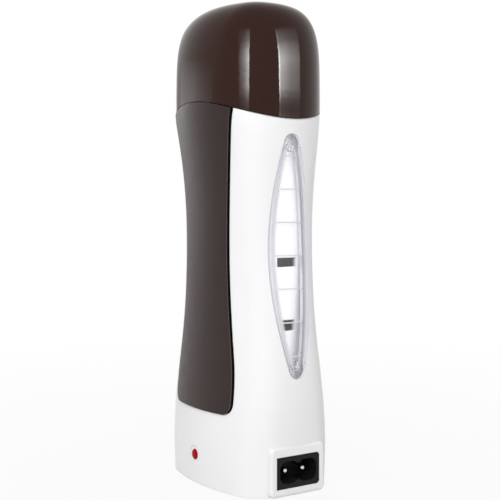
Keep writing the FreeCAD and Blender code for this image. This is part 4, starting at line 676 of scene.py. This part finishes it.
class FinishHeater(bpy.types.Operator):
    """Mill-finish plate, foil, mica, ceramic stones and the sleeved fuse"""
    bl_idname = "wax_heater.finish_heater"
    bl_label = "Finish heater"

    # how far the yarns lean each way, in radians, and the wave texture's scale for their spacing
    YARN_LEAN, YARN_SCALE = 0.9, 620.0

    def execute(self, context):
        colours = context.scene.heater_colours
        plate = metal("milled_plate", colours.plate, 0.30, 0.5 * MM, (1, 1, 0.05))
        foil = metal("bright_foil", colours.foil, 0.22, 1.2 * MM)
        case = metal("fuse_case_finish", colours.fuse, 0.28, 0.6 * MM)
        mica = plastic("flaky_mica", colours.mica, roughness=0.45, grain=1.1 * MM, depth=0.03 * MM,
                       softness=0.1 * MM, drift=0.22)
        stone = plastic("fired_stone", colours.stone, roughness=0.85, grain=0.5 * MM, depth=0.04 * MM,
                        softness=0.2 * MM, drift=0.15)
        dress(plate, "heater_plate")
        dress(foil, "electrode_inner", "electrode_outer")
        dress(case, "thermal_fuse")
        dress(mica, "mica_inner", "mica_outer")
        dress(stone, "ptc_stones")
        dress(self.woven_sleeving(colours), "fuse_sleeving")
        return {"FINISHED"}

    def woven_sleeving(self, colours):
        """Glass yarn that crosses over and under around the fuse."""
        material = bpy.data.materials.new("woven_glass")
        tree = Tree(material)
        place = tree.place()
        twisted = []
        for turn in (self.YARN_LEAN, -self.YARN_LEAN):
            lean = tree.add("Mapping", {"Vector": place, "Rotation": (turn, 0, turn)}).outputs[0]
            twisted.append(tree.add("TexWave", {"Vector": lean, "Scale": self.YARN_SCALE, "Distortion": 0.6},
                                    bands_direction="X").outputs["Fac"])
        weave = tree.math("MAXIMUM", *twisted)
        bump = tree.add("Bump", {"Strength": 0.8, "Distance": 0.08 * MM, "Height": weave})
        tree.surface(tree.add("BsdfPrincipled", {
            "Base Color": tree.blend(weave, colours.yarn_shade, colours.yarn), "Roughness": 0.8,
            "Sheen Weight": 0.3, "Normal": bump.outputs[0]}))
        return material


class FinishWiring(bpy.types.Operator):
    """Insulated leads, the circuit board and its banded resistor"""
    bl_idname = "wax_heater.finish_wiring"
    bl_label = "Finish wiring"

    # the resistor's wire, lacquer and rings, and the speckle in its lacquer
    WIRE, LACQUER, BROWN = (0.60, 0.60, 0.60), (0.56, 0.40, 0.20), (0.16, 0.05, 0.02)
    BLACK, ORANGE, GOLD = (0.02, 0.02, 0.02), (0.60, 0.25, 0.02), (0.50, 0.35, 0.06)
    SPECKLE = (0.10, 0.07, 0.04)
    # where each tone starts along the resistor, as a share of its length
    TONES = ((0.0, WIRE), (0.15, LACQUER), (0.24, BROWN), (0.31, LACQUER), (0.38, BLACK), (0.45, LACQUER),
             (0.52, ORANGE), (0.59, LACQUER), (0.70, GOLD), (0.77, LACQUER), (0.85, WIRE))

    def execute(self, context):
        colours = context.scene.heater_colours
        for name, base, members in (
                ("brown_insulation", colours.brown_lead, ("lead_line", "lead_link")),
                ("blue_insulation", colours.blue_lead, ("lead_neutral",)),
                ("pale_insulation", colours.thin_lead, ("indicator_leads",))):
            dress(plastic(name, base, roughness=0.38, grain=0.6 * MM, depth=0.01 * MM, softness=0.1 * MM,
                          drift=0.10), *members)
        board = plastic("phenolic_board", colours.board, roughness=0.50, grain=0.7 * MM, depth=0.012 * MM,
                        softness=0.1 * MM, drift=0.14)
        dress(board, "indicator_board")
        dress(self.banded_resistor(), "dropper_resistor")
        return {"FINISHED"}

    def banded_resistor(self):
        """Tan lacquer with four coloured rings, and bare wire beyond its ends."""
        material = bpy.data.materials.new("banded_lacquer")
        tree = Tree(material)
        low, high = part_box("dropper_resistor")
        along = tree.spread(tree.part(tree.place(), "X"), low.x, high.x)
        rings = tree.ramp(along, self.TONES, "CONSTANT")
        speckled = tree.blend(tree.patches(1.5 * MM, 0.0, 0.12), rings, self.SPECKLE)
        bump = tree.add("Bump", {"Strength": 0.4, "Distance": 0.03 * MM, "Height": tree.noise(0.8 * MM)})
        tree.surface(tree.add("BsdfPrincipled", {
            "Base Color": speckled, "Roughness": 0.35, "Normal": bump.outputs[0]}))
        return material


# ---------------------------------------------------------------- stage

MIDDLE = Vector((0, 0, 0.1))
CAP_RIGHT = Vector((0.028, -0.008, 0.165))

# name, power property, azimuth and elevation in degrees, distance and side in metres
SOFT_LIGHTS = (
    ("key_light", "key_power", -38, 26, 1.0, 0.8),
    ("top_light", "top_power", -112, 72, 1.1, 1.2),
    ("front_light", "front_power", -112, 15, 1.0, 0.8),
    ("rear_light", "rear_power", 142, 18, 1.0, 0.8),
)

# (share of the way, strength) stops of the lamps that the cap mirrors, across and upward
STRIP_UPWARD = ((0.0, 0.05), (0.10, 0.18), (0.20, 0.66), (0.30, 1.0), (0.60, 0.25), (1.0, 0.02))
LEFT_ACROSS = ((0.0, 0.0), (0.55, 0.35), (0.95, 1.0), (1.0, 1.0))
RIGHT_ACROSS = ((0.0, 1.0), (0.03, 0.9), (0.07, 0.42), (0.5, 0.18), (1.0, 0.06))
GLOW_ACROSS = ((0.0, 0.3), (0.5, 1.0), (1.0, 0.3))
GLOW_UPWARD = ((0.0, 1.0), (0.5, 0.8), (1.0, 0.0))

# name, power property, azimuth, elevation, width, height, fade across, fade upward; each is 1 m from the cap
CAP_LIGHTS = (
    ("left_strip", "left_strip_power", -46, 18, 0.32, 0.58, LEFT_ACROSS, STRIP_UPWARD),
    ("right_strip", "right_strip_power", 34.2, 18, 0.76, 0.58, RIGHT_ACROSS, STRIP_UPWARD),
    ("low_glow", "low_glow_power", -147, 2, 0.9, 0.4, GLOW_ACROSS, GLOW_UPWARD),
)


def around(azimuth, elevation, distance, middle=MIDDLE):
    """A point at compass and height angles in degrees, seen from a middle point."""
    a, e = math.radians(azimuth), math.radians(elevation)
    return middle + distance * Vector((math.cos(e) * math.cos(a), math.cos(e) * math.sin(a), math.sin(e)))


def soft_light(name, place, aim, width, height, watts):
    """A rectangular lamp that faces a point."""
    data = bpy.data.lights.new(name, "AREA")
    data.shape, data.size, data.size_y, data.energy = "RECTANGLE", width, height, watts
    lamp = bpy.data.objects.new(name, data)
    lamp.location = place
    lamp.rotation_euler = (aim - place).to_track_quat("-Z", "Y").to_euler()
    bpy.context.scene.collection.objects.link(lamp)
    return lamp


def fade(lamp, across, upward):
    """Fade a lamp across its width and up its height by two lists of (share of the way, strength)."""
    tree = Tree(lamp.data)
    spot = tree.add("NewGeometry").outputs["Parametric"]
    levels = [tree.ramp(tree.part(spot, axis), [(share, (level,) * 3) for share, level in stops])
              for axis, stops in (("X", across), ("Y", upward))]
    glow = tree.add("Emission", {"Color": WHITE, "Strength": tree.math("MULTIPLY", *levels)})
    tree.add("OutputLight", {"Surface": glow.outputs[0]})


def only_lights(lamp, *names):
    """Let a lamp reach some CAD nodes and nothing else."""
    group = bpy.data.collections.new(f"{lamp.name}_reach")
    for name in names:
        group.objects.link(nodes[name])
    lamp.light_linking.receiver_collection = group


def seen_by(tree, mirrored=1.0):
    """How far rays show the backdrop: straight and through clear plastic fully, mirrored ones in part."""
    path = tree.add("LightPath").outputs
    direct = tree.math("MAXIMUM", path["Is Camera Ray"], path["Is Transmission Ray"])
    return tree.math("MAXIMUM", direct, tree.math("MULTIPLY", path["Is Glossy Ray"], mirrored))


class BuildStage(bpy.types.Operator):
    """Pale floor, white surround, soft lights and the camera"""
    bl_idname = "wax_heater.build_stage"
    bl_label = "Build stage"

    FLOOR_HALF_SIDE, MOTTLE_SIZE = 6.0, 0.35
    FLOOR_TONES = ((0.66, 0.66, 0.66), (0.63, 0.63, 0.63))
    # the floor's white grows from NEAR_WHITE to full between these distances, so that the shadow shows
    SHADOW_FROM, SHADOW_TO, NEAR_WHITE = 0.05, 0.45, 0.90
    # how much of that white the heater mirrors
    FLOOR_MIRRORED = 0.65

    def execute(self, context):
        scene, studio = context.scene, context.scene.heater_studio
        self.add_floor()
        self.add_surround(scene, studio.ambient)
        self.add_soft_lights(studio)
        self.add_mirrored_lights(studio)
        self.add_window_lights(studio)
        self.add_camera(scene, studio)
        scene.view_settings.view_transform = "Standard"
        return {"FINISHED"}

    def add_floor(self):
        """A floor that shows as white around a soft shadow."""
        shape = bmesh.new()
        bmesh.ops.create_grid(shape, x_segments=8, y_segments=8, size=self.FLOOR_HALF_SIDE)
        floor = finished("floor", shape, Matrix.Identity(4))
        material = bpy.data.materials.new("pale_floor")
        tree = Tree(material)
        mottled = tree.blend(tree.patches(self.MOTTLE_SIZE), *self.FLOOR_TONES)
        paint = tree.add("BsdfDiffuse", {"Color": mottled})
        white = tree.add("Emission", {"Color": WHITE, "Strength": 1.0})
        away = tree.add("VectorMath", {0: tree.place()}, operation="LENGTH").outputs["Value"]
        clean = tree.spread(away, self.SHADOW_FROM, self.SHADOW_TO, self.NEAR_WHITE, 1.0)
        share = tree.math("MULTIPLY", seen_by(tree, self.FLOOR_MIRRORED), clean)
        tree.surface(tree.add("MixShader", {0: share, 1: paint.outputs[0], 2: white.outputs[0]}))
        floor.data.materials.append(material)

    def add_surround(self, scene, ambient):
        """An even world that lights the heater at one level and shows as white."""
        world = bpy.data.worlds.new("white_surround")
        scene.world = world
        tree = Tree(world)
        even = tree.add("Background", {"Color": WHITE, "Strength": ambient})
        white = tree.add("Background", {"Color": WHITE, "Strength": 1.0})
        both = tree.add("MixShader", {0: seen_by(tree), 1: even.outputs[0], 2: white.outputs[0]})
        tree.add("OutputWorld", {"Surface": both.outputs[0]})

    def add_soft_lights(self, studio):
        """Broad lamps that light the heater and leave no mirrored patch on it."""
        for name, watts, azimuth, elevation, distance, side in SOFT_LIGHTS:
            lamp = soft_light(name, around(azimuth, elevation, distance), MIDDLE, side, side,
                              getattr(studio, watts))
            lamp.visible_glossy = False

    def add_mirrored_lights(self, studio):
        """Lamps that show only as reflections, in the cap and in the front panel."""
        for name, watts, azimuth, elevation, width, height, across, upward in CAP_LIGHTS:
            lamp = soft_light(name, around(azimuth, elevation, 1.0, CAP_RIGHT), CAP_RIGHT, width, height,
                              getattr(studio, watts))
            fade(lamp, across, upward)
            lamp.visible_diffuse = False
            only_lights(lamp, "cap")
        glow = soft_light("panel_glow", around(-160, 20, 1.0), MIDDLE, 0.6, 0.6, studio.panel_glow_power)
        glow.visible_diffuse = False
        only_lights(glow, "front_panel")

    def add_window_lights(self, studio):
        """A fill at each window for the well behind it."""
        elevation, distance, size = 8, 0.5, 0.3
        for side, azimuth in (("right", 8), ("left", 172)):
            place = around(azimuth, elevation, distance)
            lamp = soft_light(f"{side}_window_light", place, MIDDLE, size, size, studio.window_power)
            lamp.visible_glossy = False
            only_lights(lamp, "well_sleeve", "collar")

    def add_camera(self, scene, studio):
        """The camera, from its settings."""
        data = bpy.data.cameras.new("heater_camera")
        data.lens, data.shift_y = studio.camera_lens, studio.camera_shift
        data.clip_start = 0.01
        camera = bpy.data.objects.new("heater_camera", data)
        camera.location = studio.camera_place
        aim = Vector(studio.camera_aim)
        camera.rotation_euler = aim.to_track_quat("-Z", "Y").to_euler()
        scene.collection.objects.link(camera)
        scene.camera = camera


# ---------------------------------------------------------------- panel and registration

STEPS = (FinishCasing, FinishPanels, FinishCap, FinishWindows, BuildInlet, BuildIndicator, BuildFeet,
         FinishFastenings, FinishHeater, FinishWiring, BuildStage)


class HeaterPanel(bpy.types.Panel):
    """Lists the heater's steps, colours and sizes in the sidebar"""
    bl_idname = "VIEW3D_PT_wax_heater"
    bl_label = "Wax Heater"
    bl_space_type = "VIEW_3D"
    bl_region_type = "UI"
    bl_category = "Wax Heater"

    def draw(self, context):
        for step in STEPS:
            self.layout.operator(step.bl_idname)
        for group in (context.scene.heater_colours, context.scene.heater_sizes, context.scene.heater_studio):
            box = self.layout.box()
            for name in group.__annotations__:
                box.prop(group, name)


CLASSES = (HeaterColours, HeaterSizes, StudioSettings, *STEPS, HeaterPanel)


def register():
    for cls in CLASSES:
        bpy.utils.register_class(cls)
    bpy.types.Scene.heater_colours = PointerProperty(type=HeaterColours)
    bpy.types.Scene.heater_sizes = PointerProperty(type=HeaterSizes)
    bpy.types.Scene.heater_studio = PointerProperty(type=StudioSettings)


def unregister():
    for name in ("heater_colours", "heater_sizes", "heater_studio"):
        delattr(bpy.types.Scene, name)
    for cls in reversed(CLASSES):
        bpy.utils.unregister_class(cls)


def plain(box):
    """A box as lists of numbers."""
    return [[float(value) for value in corner] for corner in box]


def main():
    register()
    for step in STEPS:
        group, name = step.bl_idname.split(".")
        getattr(getattr(bpy.ops, group), name)()


if __name__ == "__main__":
    main()
